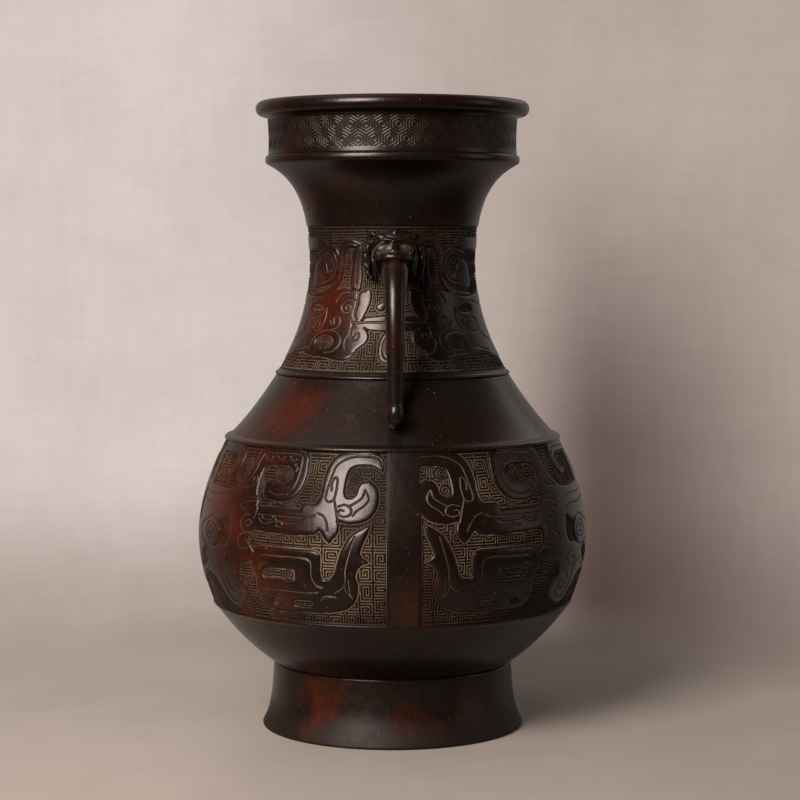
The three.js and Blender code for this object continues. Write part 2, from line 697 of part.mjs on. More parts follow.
const outward = spot(0, 1, 0);
const rivetRows = {
  lower: maskMiddle - maskRivetSpacing / 2,
  upper: maskMiddle + maskRivetSpacing / 2,
};

// A flat head on a round wall stands off by the arc's depth under the head.
function maskRivet(height) {
  const wall = radiusAt(neckInside, height);
  const bowed = wall - Math.sqrt(wall ** 2 - maskRivetHead ** 2);
  const face = spot(0, wall - bowed - 1.5 * assemblyGap, height);
  const length = radiusAt(neckOutside, height) + maskRivetGrip + face.y;
  return rivet(face, outward, length, maskRivetRadius, maskRivetHead);
}

function maskRivetHole(height) {
  const end = radiusAt(neckOutside, height) + maskRivetGrip + assemblyGap;
  return bar(spot(0, neckRadius / 2, height), spot(0, end, height), maskRivetRadius + assemblyGap);
}

const shoulderDepth = bellyWall + carvingDepth;
const trunkRivetLine = spot(0, curlSeatNormal.x, curlSeatNormal.y);

function trunkRivet() {
  const face = offShoulder(-shoulderDepth - 2 * assemblyGap);
  const length = shoulderDepth + 3 * assemblyGap + trunkRivetGrip;
  return rivet(face, trunkRivetLine, length, trunkRivetRadius, trunkRivetHead);
}

function trunkRivetHole() {
  const end = offShoulder(2 * assemblyGap + trunkRivetGrip);
  return bar(offShoulder(-2 * shoulderDepth), end, trunkRivetRadius + assemblyGap);
}

const halfTurn = (solid) => solid.rotate([0, 0, 180]);
const bothSides = (solid) => solid.add(halfTurn(solid));

// Assembly
const maskHoles = joined(Object.values(rivetRows).map(maskRivetHole));
const trunkHole = trunkRivetHole();
const maskPiece = maskSolid().subtract(joined([...maskCutters(), maskHoles]));
const trunkPiece = trunkSolid().subtract(trunkHole);
const footInner = insideOf(footCurve(3), footWall, footEdgeHeight, footHeight);
const footSolderHeight = bellyFoot - footSpigotDepth - assemblyGap;
const footSolderCorner = at(radiusAt(footInner, footSolderHeight) - assemblyGap, footSolderHeight);
const neckSolderCorner = at(neckSpigotRadius + assemblyGap, neckBoreFoot - assemblyGap);
const collarSolderCorner = at(collarSpigotRadius, beadTop + collarSpigotHeight + assemblyGap);
const plateSolderCorner = at(coreHoleRadius - assemblyGap, plateTop + assemblyGap);

const jar = new THREE.Group();
jar.add(
  named("foot_ring", footRing(), patinas.red),
  named("base_plate", basePlate(), patinas.dark),
  named("belly", bellyShell().subtract(bothSides(trunkHole)), patinas.brown),
  named("neck", neckShell().subtract(bothSides(maskHoles)), patinas.brown),
  named("mouth_collar", mouthCollar(), patinas.red),
  named("foot_solder", solderRing(footSolderCorner, -1, -1), patinas.solder),
  named("plate_solder", solderRing(plateSolderCorner, -1, 1), patinas.solder),
  named("neck_solder", solderRing(neckSolderCorner, 1, -1), patinas.solder),
  named("collar_solder", solderRing(collarSolderCorner, -1, 1), patinas.solder),
);

for (const side of ["front", "rear"]) {
  const placed = side === "front" ? (solid) => solid : halfTurn;
  jar.add(
    named(`${side}_mask`, placed(maskPiece), patinas.dark),
    named(`${side}_trunk`, placed(trunkPiece), patinas.dark),
    named(`${side}_trunk_rivet`, placed(trunkRivet()), patinas.dark),
  );
  for (const [row, height] of Object.entries(rivetRows)) {
    jar.add(named(`${side}_mask_rivet_${row}`, placed(maskRivet(height)), patinas.dark));
  }
}

export default jar;
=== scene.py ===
import json
import math

import bmesh
import bpy
import numpy as np
from mathutils import Matrix, Vector

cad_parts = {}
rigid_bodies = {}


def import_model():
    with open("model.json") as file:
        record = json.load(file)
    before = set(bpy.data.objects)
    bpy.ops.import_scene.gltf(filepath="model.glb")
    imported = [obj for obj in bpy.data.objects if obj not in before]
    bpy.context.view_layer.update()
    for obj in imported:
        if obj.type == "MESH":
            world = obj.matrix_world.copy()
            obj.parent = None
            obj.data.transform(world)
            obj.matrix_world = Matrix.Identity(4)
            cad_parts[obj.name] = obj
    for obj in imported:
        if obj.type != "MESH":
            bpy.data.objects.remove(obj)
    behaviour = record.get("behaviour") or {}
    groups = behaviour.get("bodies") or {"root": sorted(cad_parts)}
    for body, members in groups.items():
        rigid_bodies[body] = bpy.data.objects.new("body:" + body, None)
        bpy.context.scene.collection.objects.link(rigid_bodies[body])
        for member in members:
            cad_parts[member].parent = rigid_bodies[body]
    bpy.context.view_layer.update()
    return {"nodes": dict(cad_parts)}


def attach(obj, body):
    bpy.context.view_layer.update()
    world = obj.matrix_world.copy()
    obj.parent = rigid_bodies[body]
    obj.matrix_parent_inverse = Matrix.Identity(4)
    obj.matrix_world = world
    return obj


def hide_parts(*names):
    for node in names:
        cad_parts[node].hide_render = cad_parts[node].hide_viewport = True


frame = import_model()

mm = 0.001
sameSpot = 0.002 * mm
print("frame loaded,", len(frame["nodes"]), "nodes")


def curve(start, first, last, end, steps):
    t = np.linspace(0, 1, steps + 1)[:, None]
    near, far = 3 * (1 - t) ** 2 * t, 3 * (1 - t) * t**2
    return (1 - t) ** 3 * start + near * first + far * last + t**3 * end


# Profiles: each point is a radius and a height, in millimetres
def sweep(start, end, firstPull, lastPull, steps):
    start, end = np.array(start, float), np.array(end, float)
    first, last = [start + np.array(pull) * (end - start) for pull in (firstPull, lastPull)]
    return curve(start, first, last, end, steps)


def arc(middle, radius, first, last, steps):
    turns = np.radians(np.linspace(first, last, steps + 1))
    return np.stack([middle[0] + radius * np.cos(turns), middle[1] + radius * np.sin(turns)], 1)


def radiusAt(profile, height):
    return np.interp(height, profile[:, 1], profile[:, 0])


def movedIn(profile, depth):
    along = np.gradient(profile, axis=0)
    along /= np.linalg.norm(along, axis=1)[:, None]
    return profile + depth * np.stack([-along[:, 1], along[:, 0]], 1)


def between(profile, low, high, steps):
    heights = np.linspace(low, high, steps + 1)
    return np.stack([radiusAt(profile, heights), heights], 1)


footLine = sweep((69.1, 2), (63.3, 34.5), (0.7, 0.18), (0.9, 0.57), 40)
lowerBellyLine = sweep((63.3, 34.8), (94.3, 66), (0.43, 0.31), (0.69, 0.58), 36)
bandLine = np.concatenate([
    sweep((95, 66.3), (103, 103.3), (0.55, 0.3), (1, 0.6), 120),
    sweep((103, 103.3), (88.3, 153.2), (0, 0.4), (0.69, 0.81), 120)[1:],
])
shoulderLine = sweep((85.6, 155.9), (61.6, 186.9), (0.33, 0.24), (0.77, 0.71), 36)
neckLine = np.concatenate([
    sweep((60.5, 189.2), (44.1, 247.2), (0.48, 0.24), (1, 0.53), 120),
    sweep((44.1, 247.2), (66, 297.2), (0, 0.72), (0.57, 0.9), 120)[1:],
])
collarLine = sweep((65.5, 301.65), (65.8, 321.1), (-1.6, 0.33), (-1, 0.67), 60)


# Pieces
def addObject(name, data):
    item = bpy.data.objects.new(name, data)
    bpy.context.scene.collection.objects.link(item)
    return item


def linkPiece(mesh, name, replaced=()):
    piece = addObject(name, mesh)
    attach(piece, "root")
    if replaced:
        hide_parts(*replaced)


def meshFrom(bm, name):
    mesh = bpy.data.meshes.new(name)
    bm.to_mesh(mesh)
    bm.free()
    return mesh


turning = {"steps": 224, "edgeRound": 0.25 * mm, "crease": math.radians(38), "soft": math.radians(50)}


def turnedPiece(name, slot, replaced, *parts):
    bm = bmesh.new()
    corners = [bm.verts.new((r * mm, 0, z * mm)) for r, z in np.concatenate(parts)]
    sides = [bm.edges.new(pair) for pair in zip(corners, corners[1:] + corners[:1])]
    bmesh.ops.spin(bm, geom=corners + sides, cent=(0, 0, 0), axis=(0, 0, 1), dvec=(0, 0, 0),
                   angle=2 * math.pi, steps=turning["steps"], use_merge=True)
    bmesh.ops.remove_doubles(bm, verts=bm.verts[:], dist=sameSpot)
    bmesh.ops.recalc_face_normals(bm, faces=bm.faces[:])
    creases = [edge for edge in bm.edges if edge.calc_face_angle(0) > turning["crease"]]
    bmesh.ops.bevel(bm, geom=creases, offset=turning["edgeRound"], offset_type="OFFSET", segments=2,
                    profile=0.5, affect="EDGES", clamp_overlap=True, material=-1)
    for face in bm.faces:
        face.smooth = True
    for edge in bm.edges:
        edge.smooth = edge.calc_face_angle(0) < turning["soft"]
    linkPiece(meshFrom(bm, name), name, replaced)


# Carving: flat sheets of heights, worked out from outlines drawn on the unrolled surface
def smoothLine(points, closed=False, steps=4):
    points = [np.array(p, float) for p in points]
    count = len(points)

    def pointAt(k):
        return points[k % count] if closed else points[min(max(k, 0), count - 1)]

    line = []
    for i in range(count if closed else count - 1):
        before, start, end, after = [pointAt(k) for k in range(i - 1, i + 3)]
        reach = np.linalg.norm(end - start)
        if reach < 1e-6:
            continue
        leave = (end - before) / max(np.linalg.norm(end - before), 1e-6) * reach
        arrive = (after - start) / max(np.linalg.norm(after - start), 1e-6) * reach
        for t in np.arange(steps) / steps:
            line.append(start * (1 + 2 * t) * (1 - t) ** 2 + leave * t * (1 - t) ** 2
                        + end * t * t * (3 - 2 * t) + arrive * t * t * (t - 1))
    if not closed:
        line.append(points[-1])
    return np.array(line)


def ramp(value, start, end):
    t = np.clip((value - start) / (end - start), 0, 1)
    return t * t * (3 - 2 * t)


def patchOf(across, up, line, margin):
    low, top = line.min(0) - margin, line.max(0) + margin
    return (across > low[0]) & (across < top[0]) & (up > low[1]) & (up < top[1])


# Distance to a line. Beyond the margin it isn't worked out and counts as far away.
farAway = 9.0


def distanceTo(across, up, line, closed, margin=3.0):
    result = np.full(across.shape, farAway)
    held = patchOf(across, up, line, margin)
    x, y = across[held], up[held]
    best = np.full(x.shape, farAway**2)
    ends = np.roll(line, -1, 0) if closed else line[1:]
    for (ax, ay), (bx, by) in zip(line, ends):
        dx, dy = bx - ax, by - ay
        size = dx * dx + dy * dy
        if size > 1e-9:
            t = np.clip(((x - ax) * dx + (y - ay) * dy) / size, 0, 1)
            best = np.minimum(best, (x - ax - t * dx) ** 2 + (y - ay - t * dy) ** 2)
    result[held] = np.sqrt(best)
    return result


# Distance to an outline, negative inside it
def outlineDistance(across, up, points):
    line = smoothLine(points, closed=True)
    distance = distanceTo(across, up, line, True)
    held = patchOf(across, up, line, 0.5)
    x, y = across[held], up[held]
    inside = np.zeros(x.shape, bool)
    for (ax, ay), (bx, by) in zip(line, np.roll(line, -1, 0)):
        if abs(by - ay) > 1e-9:
            crosses = (ay > y) != (by > y)
            inside ^= crosses & (x < ax + (y - ay) * (bx - ax) / (by - ay))
    distance[held] = np.where(inside, -distance[held], distance[held])
    return distance


def squareSpiral(wide, high):
    tile = np.zeros((high, wide))
    left, low, right, top = 0, 0, wide - 1, high - 1
    tile[low, left:right + 1] = 1
    while right >= left and top >= low:
        tile[low:top + 1, right] = 1
        tile[top, left:right + 1] = 1
        low += 2
        if low > top:
            break
        tile[low:top + 1, left] = 1
        right -= 2
        if right <= left:
            break
        tile[low, left:right + 1] = 1
        top -= 2
        left += 2
    return tile


# Thunder pattern: columns of square spirals. Widths and heights are counted in half line pitches.
def thunderPattern(columns, rows, widths, heights):
    wide, high = columns // 2 + 1, rows // 2 + 1
    overhang = 24
    sheet = np.zeros((high + overhang, wide + overhang))
    left, column = 0, 0
    while left < wide:
        spiralWide = widths[column % len(widths)]
        low, row = 0, 0
        while low < high:
            spiralHigh = heights[(row + 2 * column) % len(heights)]
            tile = squareSpiral(spiralWide, spiralHigh)
            turn = (3 * column + row) % 4
            tile = tile[:, ::-1] if turn % 2 else tile
            tile = tile[::-1] if turn > 1 else tile
            sheet[low:low + spiralHigh, left:left + spiralWide] = tile
            low += spiralHigh + 1
            row += 1
        left += spiralWide + 1
        column += 1
    return np.repeat(np.repeat(sheet, 2, 0), 2, 1)[:rows, :columns]


# Degrees around the jar turned into millimetres on the unrolled surface
def unrolled(points, perDegree):
    return [(degrees * perDegree, height) for degrees, height in points]


def heightsOf(design):
    return design["low"] + np.arange(design["rows"]) * design["rise"]


# Heights below the raised surface, how much pale dust and painted highlight, and how much depth each place
# holds, for half a panel
def carveHalf(design, shift=None):
    perDegree, plainTurn, rim = design["perDegree"], design["plainTurn"], design["rim"]
    degrees = (np.arange(design["halfColumns"]) + 0.5) * design["step"]
    turn, up = np.meshgrid(degrees, heightsOf(design))
    across = (turn if shift is None else shift(turn, up)) * perDegree
    motif, incised = np.full(across.shape, farAway), np.full(across.shape, farAway)
    for points in design["raised"].values():
        motif = np.minimum(motif, outlineDistance(across, up, unrolled(points, perDegree)))
    for points in design["sunken"].values():
        motif = np.maximum(motif, -outlineDistance(across, up, unrolled(points, perDegree)))
    for points in design["incised"].values():
        line = smoothLine(unrolled(points, perDegree))
        incised = np.minimum(incised, distanceTo(across, up, line, False, 2.0))
    border = np.minimum(design["top"] - up, up - design["bottom"])
    border = np.minimum(border, (turn - plainTurn) * perDegree)
    bound = np.minimum(motif, border)
    ridges = thunderPattern(turn.shape[1], turn.shape[0], design["widths"], design["tall"])
    ridges = np.where(bound < 1.6 * rim, ramp(np.abs(bound - rim), 0.5, 0.2), ridges)
    for (middle, height), wide, tall in design["coils"]:
        a, b = (across - middle * perDegree) / wide, (up - height) / tall
        turnsOut = np.hypot(a, b) * math.sqrt(wide * tall) / design["coilPitch"]
        coil = (turnsOut + np.arctan2(b, a) / (2 * math.pi)) % 1
        coil = ramp(np.abs(coil - 0.5), 0.34, 0.12)
        ridges = np.where((np.hypot(a, b) < 1) & (bound > 0.85 * rim), coil, ridges)
    ground = -design["depth"] + design["lineHeight"] * ridges
    edge = ramp(motif, -0.15, 0.45)
    groove = ramp(incised, 0.45, 0.1) * (motif < 0)
    pillow = design["pillow"] * ramp(motif, -1.6, 0)
    carved = (1 - edge) * (-pillow - design["incisedDepth"] * groove) + edge * ground
    carved = np.where(border < 0.45, carved * ramp(border, -0.15, 0.45), carved)
    carved *= ramp((turn - plainTurn) * perDegree, -0.15, 1.9)
    # Pale beige on ridge tops, incised lines and motif outlines: partly dust, partly painted highlight on the
    # edges
    dust = np.maximum(edge * ramp(ridges, 0.25, 0.85), ramp(incised, 0.5, 0.12) * (motif < 0))
    dust = np.maximum(dust, 0.6 * ramp(np.abs(motif - 0.4), 0.35, 0.08) * (border > 0))
    dust = dust * ramp(border, -0.3, 0.3)
    sunk = np.where(border < 0, 0, 1 - (1 - edge) * (1 - groove))
    return carved, dust, sunk


# Four half panels make the full circle, starting at the middle of the front
def carveRound(design):
    right, left = carveHalf(design, design.get("shift")), carveHalf(design)
    return [np.concatenate([r, l[:, ::-1], r, l[:, ::-1]], 1) for r, l in zip(right, left)]


# A carved band in sectors, each a closed wall whose back lies inside the turned piece behind it
def carvedBand(design, profile, sheets, replaced):
    carved, dust, sunk = sheets
    rows, columns = carved.shape
    heights = heightsOf(design)
    surface = radiusAt(profile, heights)[:, None] + carved
    turns = np.radians(design["turn"] + (np.arange(columns + 1) + 0.5) * 360 / columns)
    backSteps = design["backSteps"]
    for sector in range(design["sectors"]):
        first = sector * columns // design["sectors"]
        last = (sector + 1) * columns // design["sectors"]
        front = np.arange(first, last + 1)
        around = len(front) + backSteps + 1
        bm = bmesh.new()
        bmesh.ops.create_grid(bm, x_segments=around, y_segments=rows - 1, size=1)
        dustAndSheenLayer = bm.verts.layers.float.new("dust")
        sunkLayer = bm.verts.layers.float.new("sunk")
        rims = set()
        for vert in bm.verts:
            i = round((vert.co.x + 1) / 2 * around) % around
            j = round((vert.co.y + 1) / 2 * (rows - 1))
            if i < len(front):
                column = front[i] % columns
                radius, turn = surface[j, column], turns[front[i]]
                vert[dustAndSheenLayer], vert[sunkLayer] = dust[j, column], sunk[j, column]
                if i in (0, len(front) - 1) or j in (0, rows - 1):
                    rims.add(vert)
            else:
                back = (i - len(front)) / backSteps
                radius = radiusAt(profile, heights[j]) - design["wall"]
                turn = turns[last] + back * (turns[first] - turns[last])
            vert.co = (radius * math.sin(turn) * mm, -radius * math.cos(turn) * mm, heights[j] * mm)
        bmesh.ops.remove_doubles(bm, verts=bm.verts[:], dist=sameSpot)
        bmesh.ops.holes_fill(bm, edges=[edge for edge in bm.edges if edge.is_boundary], sides=0)
        bmesh.ops.recalc_face_normals(bm, faces=bm.faces[:])
        for face in bm.faces:
            face.smooth = True
        for edge in bm.edges:
            edge.smooth = not (edge.verts[0] in rims and edge.verts[1] in rims)
        name = f"{design['name']}_{sector + 1}"
        linkPiece(meshFrom(bm, name), name, replaced if sector == 0 else ())


# Turned sections. Behind a carved band they lie a little deeper than the band's plain surface.
behindBand = 1.2

foot = {"edge": 1.0, "floor": 69.4, "wall": 4.2, "insideFoot": 2.4, "top": 34.5}
footInside = between(movedIn(footLine, foot["wall"]), foot["insideFoot"], foot["top"], 16)
footEdge = arc((foot["floor"] - foot["edge"], foot["edge"]), foot["edge"], -90, 0, 8)
turnedPiece("jar_foot", "bronze_red", ("foot_ring",),
            [(footInside[0][0] - 0.2, 0)], footEdge, footLine, footInside[::-1])
print("foot turned")

belly = {"wall": 3.8, "floorTop": 41.5, "boreFoot": 181.9}
bellyOutside = np.concatenate([lowerBellyLine, bandLine, shoulderLine])
bellyInside = between(movedIn(bellyOutside, belly["wall"]), belly["floorTop"], belly["boreFoot"], 40)
bellyBack = between(bandLine, 67.3, 152.6, 24) - [behindBand, 0]
underBand = [(95, 66.3), (95.5, 66.9)]
rib = [(88.32, 153.0), (88.75, 153.25), (89, 153.6), (89.05, 154.1), (88.85, 154.6), (88.2, 155.1),
       (87.3, 155.5), (86.3, 155.8)]
neckBore = [(58.4, 186.9), (58.4, belly["boreFoot"])]
plateLedge = [(42, 41.5), (42, 38.1), (46.3, 38.1), (46.3, 34.8), (56.4, 34.8)]
footSpigot = [(56.4, 28.8), (58.8, 28.8), (58.8, 34.8)]
turnedPiece("jar_belly", "bronze_brown", (),
            lowerBellyLine, underBand, bellyBack, [(88.3, 152.9)], rib, shoulderLine, neckBore,
            bellyInside[::-1], plateLedge, footSpigot)
print("belly turned")

neck = {"wall": 3, "insideFoot": 198, "insideTop": 296}
neckInside = between(movedIn(neckLine, neck["wall"]), neck["insideFoot"], neck["insideTop"], 44)
neckBack = between(neckLine, 190.4, 264.5, 24) - [behindBand, 0]
neckPlain = between(neckLine, 264.84, 297.2, 36)
neckRib = [(61.6, 187.2), (61.95, 187.4), (62.1, 187.8), (62, 188.3), (61.5, 188.8), (60.9, 189.1)]
bead = [(66.5, 297.6), (66.85, 298.1), (67, 299), (66.95, 300.2), (66.7, 301.1), (66.1, 301.6)]
collarSpigot = [(61.2, 301.6), (61.2, 309.6), (58.8, 309.6), (58.8, 296.4)]
bellySpigot = [(55.7, 195), (55.7, 179.7), (58.1, 179.7), (58.1, 187.2)]
turnedPiece("jar_neck", "bronze_brown", (),
            neckRib, between(neckLine, 189.2, 190.05, 2), neckBack, neckPlain, bead, collarSpigot,
            neckInside[::-1], bellySpigot)
print("neck turned")

collar = {"foot": 301.65, "inner": 61.5, "lipMiddle": (68, 326.1), "lipRadius": 3.98}
collarBack = between(collarLine, 304, 320, 8) - [behindBand, 0]
lip = arc(collar["lipMiddle"], collar["lipRadius"], -118, 112, 32)
mouth = sweep(lip[-1], (collar["inner"], 322.1), (0.6, 0.05), (1, 0.5), 20)
turnedPiece("jar_collar", "bronze_red", (),
            between(collarLine, collar["foot"], 303.56, 3), collarBack,
            between(collarLine, 320.44, 321.1, 2), lip, mouth[1:], [(collar["inner"], collar["foot"])])
print("collar turned")


# Carved bands
# Outlines of the ornament: degrees from the middle of the handle, and height in millimetres
bellyRaised = {
    "head": [(6.2, 144.6), (6.2, 144.6), (6.3, 149.6), (8.4, 152.3), (14.5, 152.5), (19.2, 151.9),
        (21.7, 149.6), (23.3, 145), (24, 138.5), (24.4, 131.1), (26, 127.5), (30, 126.5), (30, 115),
        (27.7, 114.3), (25, 116.2), (23.4, 114.9), (22.5, 112.4), (21, 109.8), (21, 109.8), (18.9, 114.6),
        (18.5, 118.6), (18.5, 120.4), (15.9, 119.5), (12, 120.3), (9.5, 122.6), (7.9, 126.8), (7.3, 132.4),
        (8, 136.4), (10, 139.2), (10, 139.2), (12.2, 138.4), (13.1, 136.4), (13.7, 133), (14.9, 131.2),
        (16.5, 131.2), (17.4, 133), (17.5, 136.4), (17.2, 141), (16.2, 145.4), (13.5, 147.1), (9.2, 146.9)],
    "bar": [(24, 126.6), (27, 124.6), (31, 124), (44.6, 124), (44.6, 124), (47.5, 124.4), (48.5, 119),
        (47.4, 113.6), (46, 113.6), (26, 113.6), (24, 118)],
    "feather": [(9.7, 118), (9.7, 118), (12.6, 115.3), (14.7, 112.8), (16.1, 109), (17.4, 104.2),
        (18.5, 98), (19.1, 94.2), (20.4, 91.4), (24, 90), (24, 90), (45, 87.2), (45, 87.2), (45.2, 82),
        (44.4, 77.4), (42.8, 75), (40, 74.2), (34, 74.2), (26, 74.4), (20, 75.2), (16.6, 77), (14.4, 80.2),
        (13.3, 85), (13.2, 89), (13.8, 93), (13, 97.6), (11.5, 99.8), (10.2, 100.5), (10.2, 100.5),
        (11.8, 102.4), (12.4, 105), (11.7, 109.5), (10.4, 114.5)],
    "lowerC": [(23.9, 103.2), (25.4, 104.8), (28, 105), (42.5, 105), (44.6, 104), (46, 101), (46.6, 96),
        (45.4, 90.8), (43.5, 86), (22, 86), (20, 90.6), (23, 90.8), (23.9, 94)],
    "cHorn": [(30.4, 146), (31, 150.6), (33.6, 152.6), (38, 152.7), (49.6, 152.7), (51, 151.2),
        (51.6, 145.5), (53.9, 138.8), (58.6, 131.9), (58.6, 131.9), (56, 125.5), (52, 128.6), (48.6, 129.8),
        (47.2, 129.4), (47.2, 129.4), (47.8, 134), (47.7, 139), (47.2, 143.4), (45.2, 145.6), (41, 146.2),
        (37.6, 145.9), (35.3, 144.4), (34.5, 141.6), (35, 138.6), (37, 136.9), (40, 136.7), (42.6, 137.3),
        (44.2, 136.2), (44.7, 133), (43.8, 130.4), (41.4, 129.1), (37.2, 128.9), (33.8, 130.4),
        (31.5, 134.6), (30.4, 140)],
    "cheek": [(58.6, 132), (54.8, 129.5), (51, 130), (48.4, 130.2), (46.6, 129.2), (46.2, 126),
        (46.6, 122.4), (46.8, 119), (47.2, 114), (47.9, 110), (47.4, 105.2), (46, 102), (46.2, 99.6),
        (49.8, 96.4), (51.8, 95.2), (53, 91), (52.8, 87.4), (50.7, 84.6), (50.2, 80.6), (51.6, 76.6),
        (54.8, 73.1), (58, 72.2), (61, 74.2), (63.9, 79.4), (66.4, 84), (69.4, 86.6), (74, 87), (78, 85),
        (82, 80.5), (86, 77.8), (91, 76.8), (91, 76.8), (91, 146), (91, 146), (87, 145), (84.5, 139),
        (81, 133.5), (76, 131.8), (68, 131.2), (62, 131.2)],
    "innerHorn": [(59.6, 150.6), (61.4, 152.6), (66, 152.8), (77.8, 152.8), (79.2, 150.4), (79.3, 143),
        (79.4, 131), (79.4, 131), (76, 131), (76, 136), (75.9, 148.6), (75.9, 148.6), (64.6, 148.8),
        (62.8, 147.4), (62.8, 144.6), (64.2, 141.4), (66.2, 139.6), (65, 137.6), (62.6, 138.4),
        (60.4, 141.6), (59.3, 146)],
}

bellySunken = {
    "lowerGap": [(31.2, 95.8), (31.2, 95.8), (41, 95.7), (42.9, 93.6), (42.6, 90.6), (41, 89.2),
        (31.2, 89.2), (31.2, 89.2)],
    "footGap": [(26.3, 79.4), (27.2, 80.4), (31.6, 80.4), (33, 79.4), (33, 77.2), (31.8, 76.2),
        (27.2, 76.2), (26.3, 77.2)],
    "toeGap": [(36.8, 79.2), (37.8, 80.4), (39.6, 80), (40.4, 78.2), (39.4, 76.4), (37.6, 76.4)],
    "mouthLine": [(56.6, 111), (57.6, 105.4), (59.6, 103.1), (62.8, 102.9), (66, 101.4), (64.6, 104),
        (62.8, 107.4), (62.6, 111), (64, 114.4), (62.4, 114.8), (59.8, 116.4), (58.2, 118), (57, 116)],
    "underEye": [(72.4, 100.2), (76.2, 97.4), (79.6, 93.4), (80, 88.6), (77, 88.4), (73.4, 90.8),
        (70.6, 94.4), (70, 97.8)],
    "browGap": [(83, 128), (84.4, 122), (84.6, 115), (83.4, 111.6), (82, 115), (81.2, 122), (81.4, 127)],
}

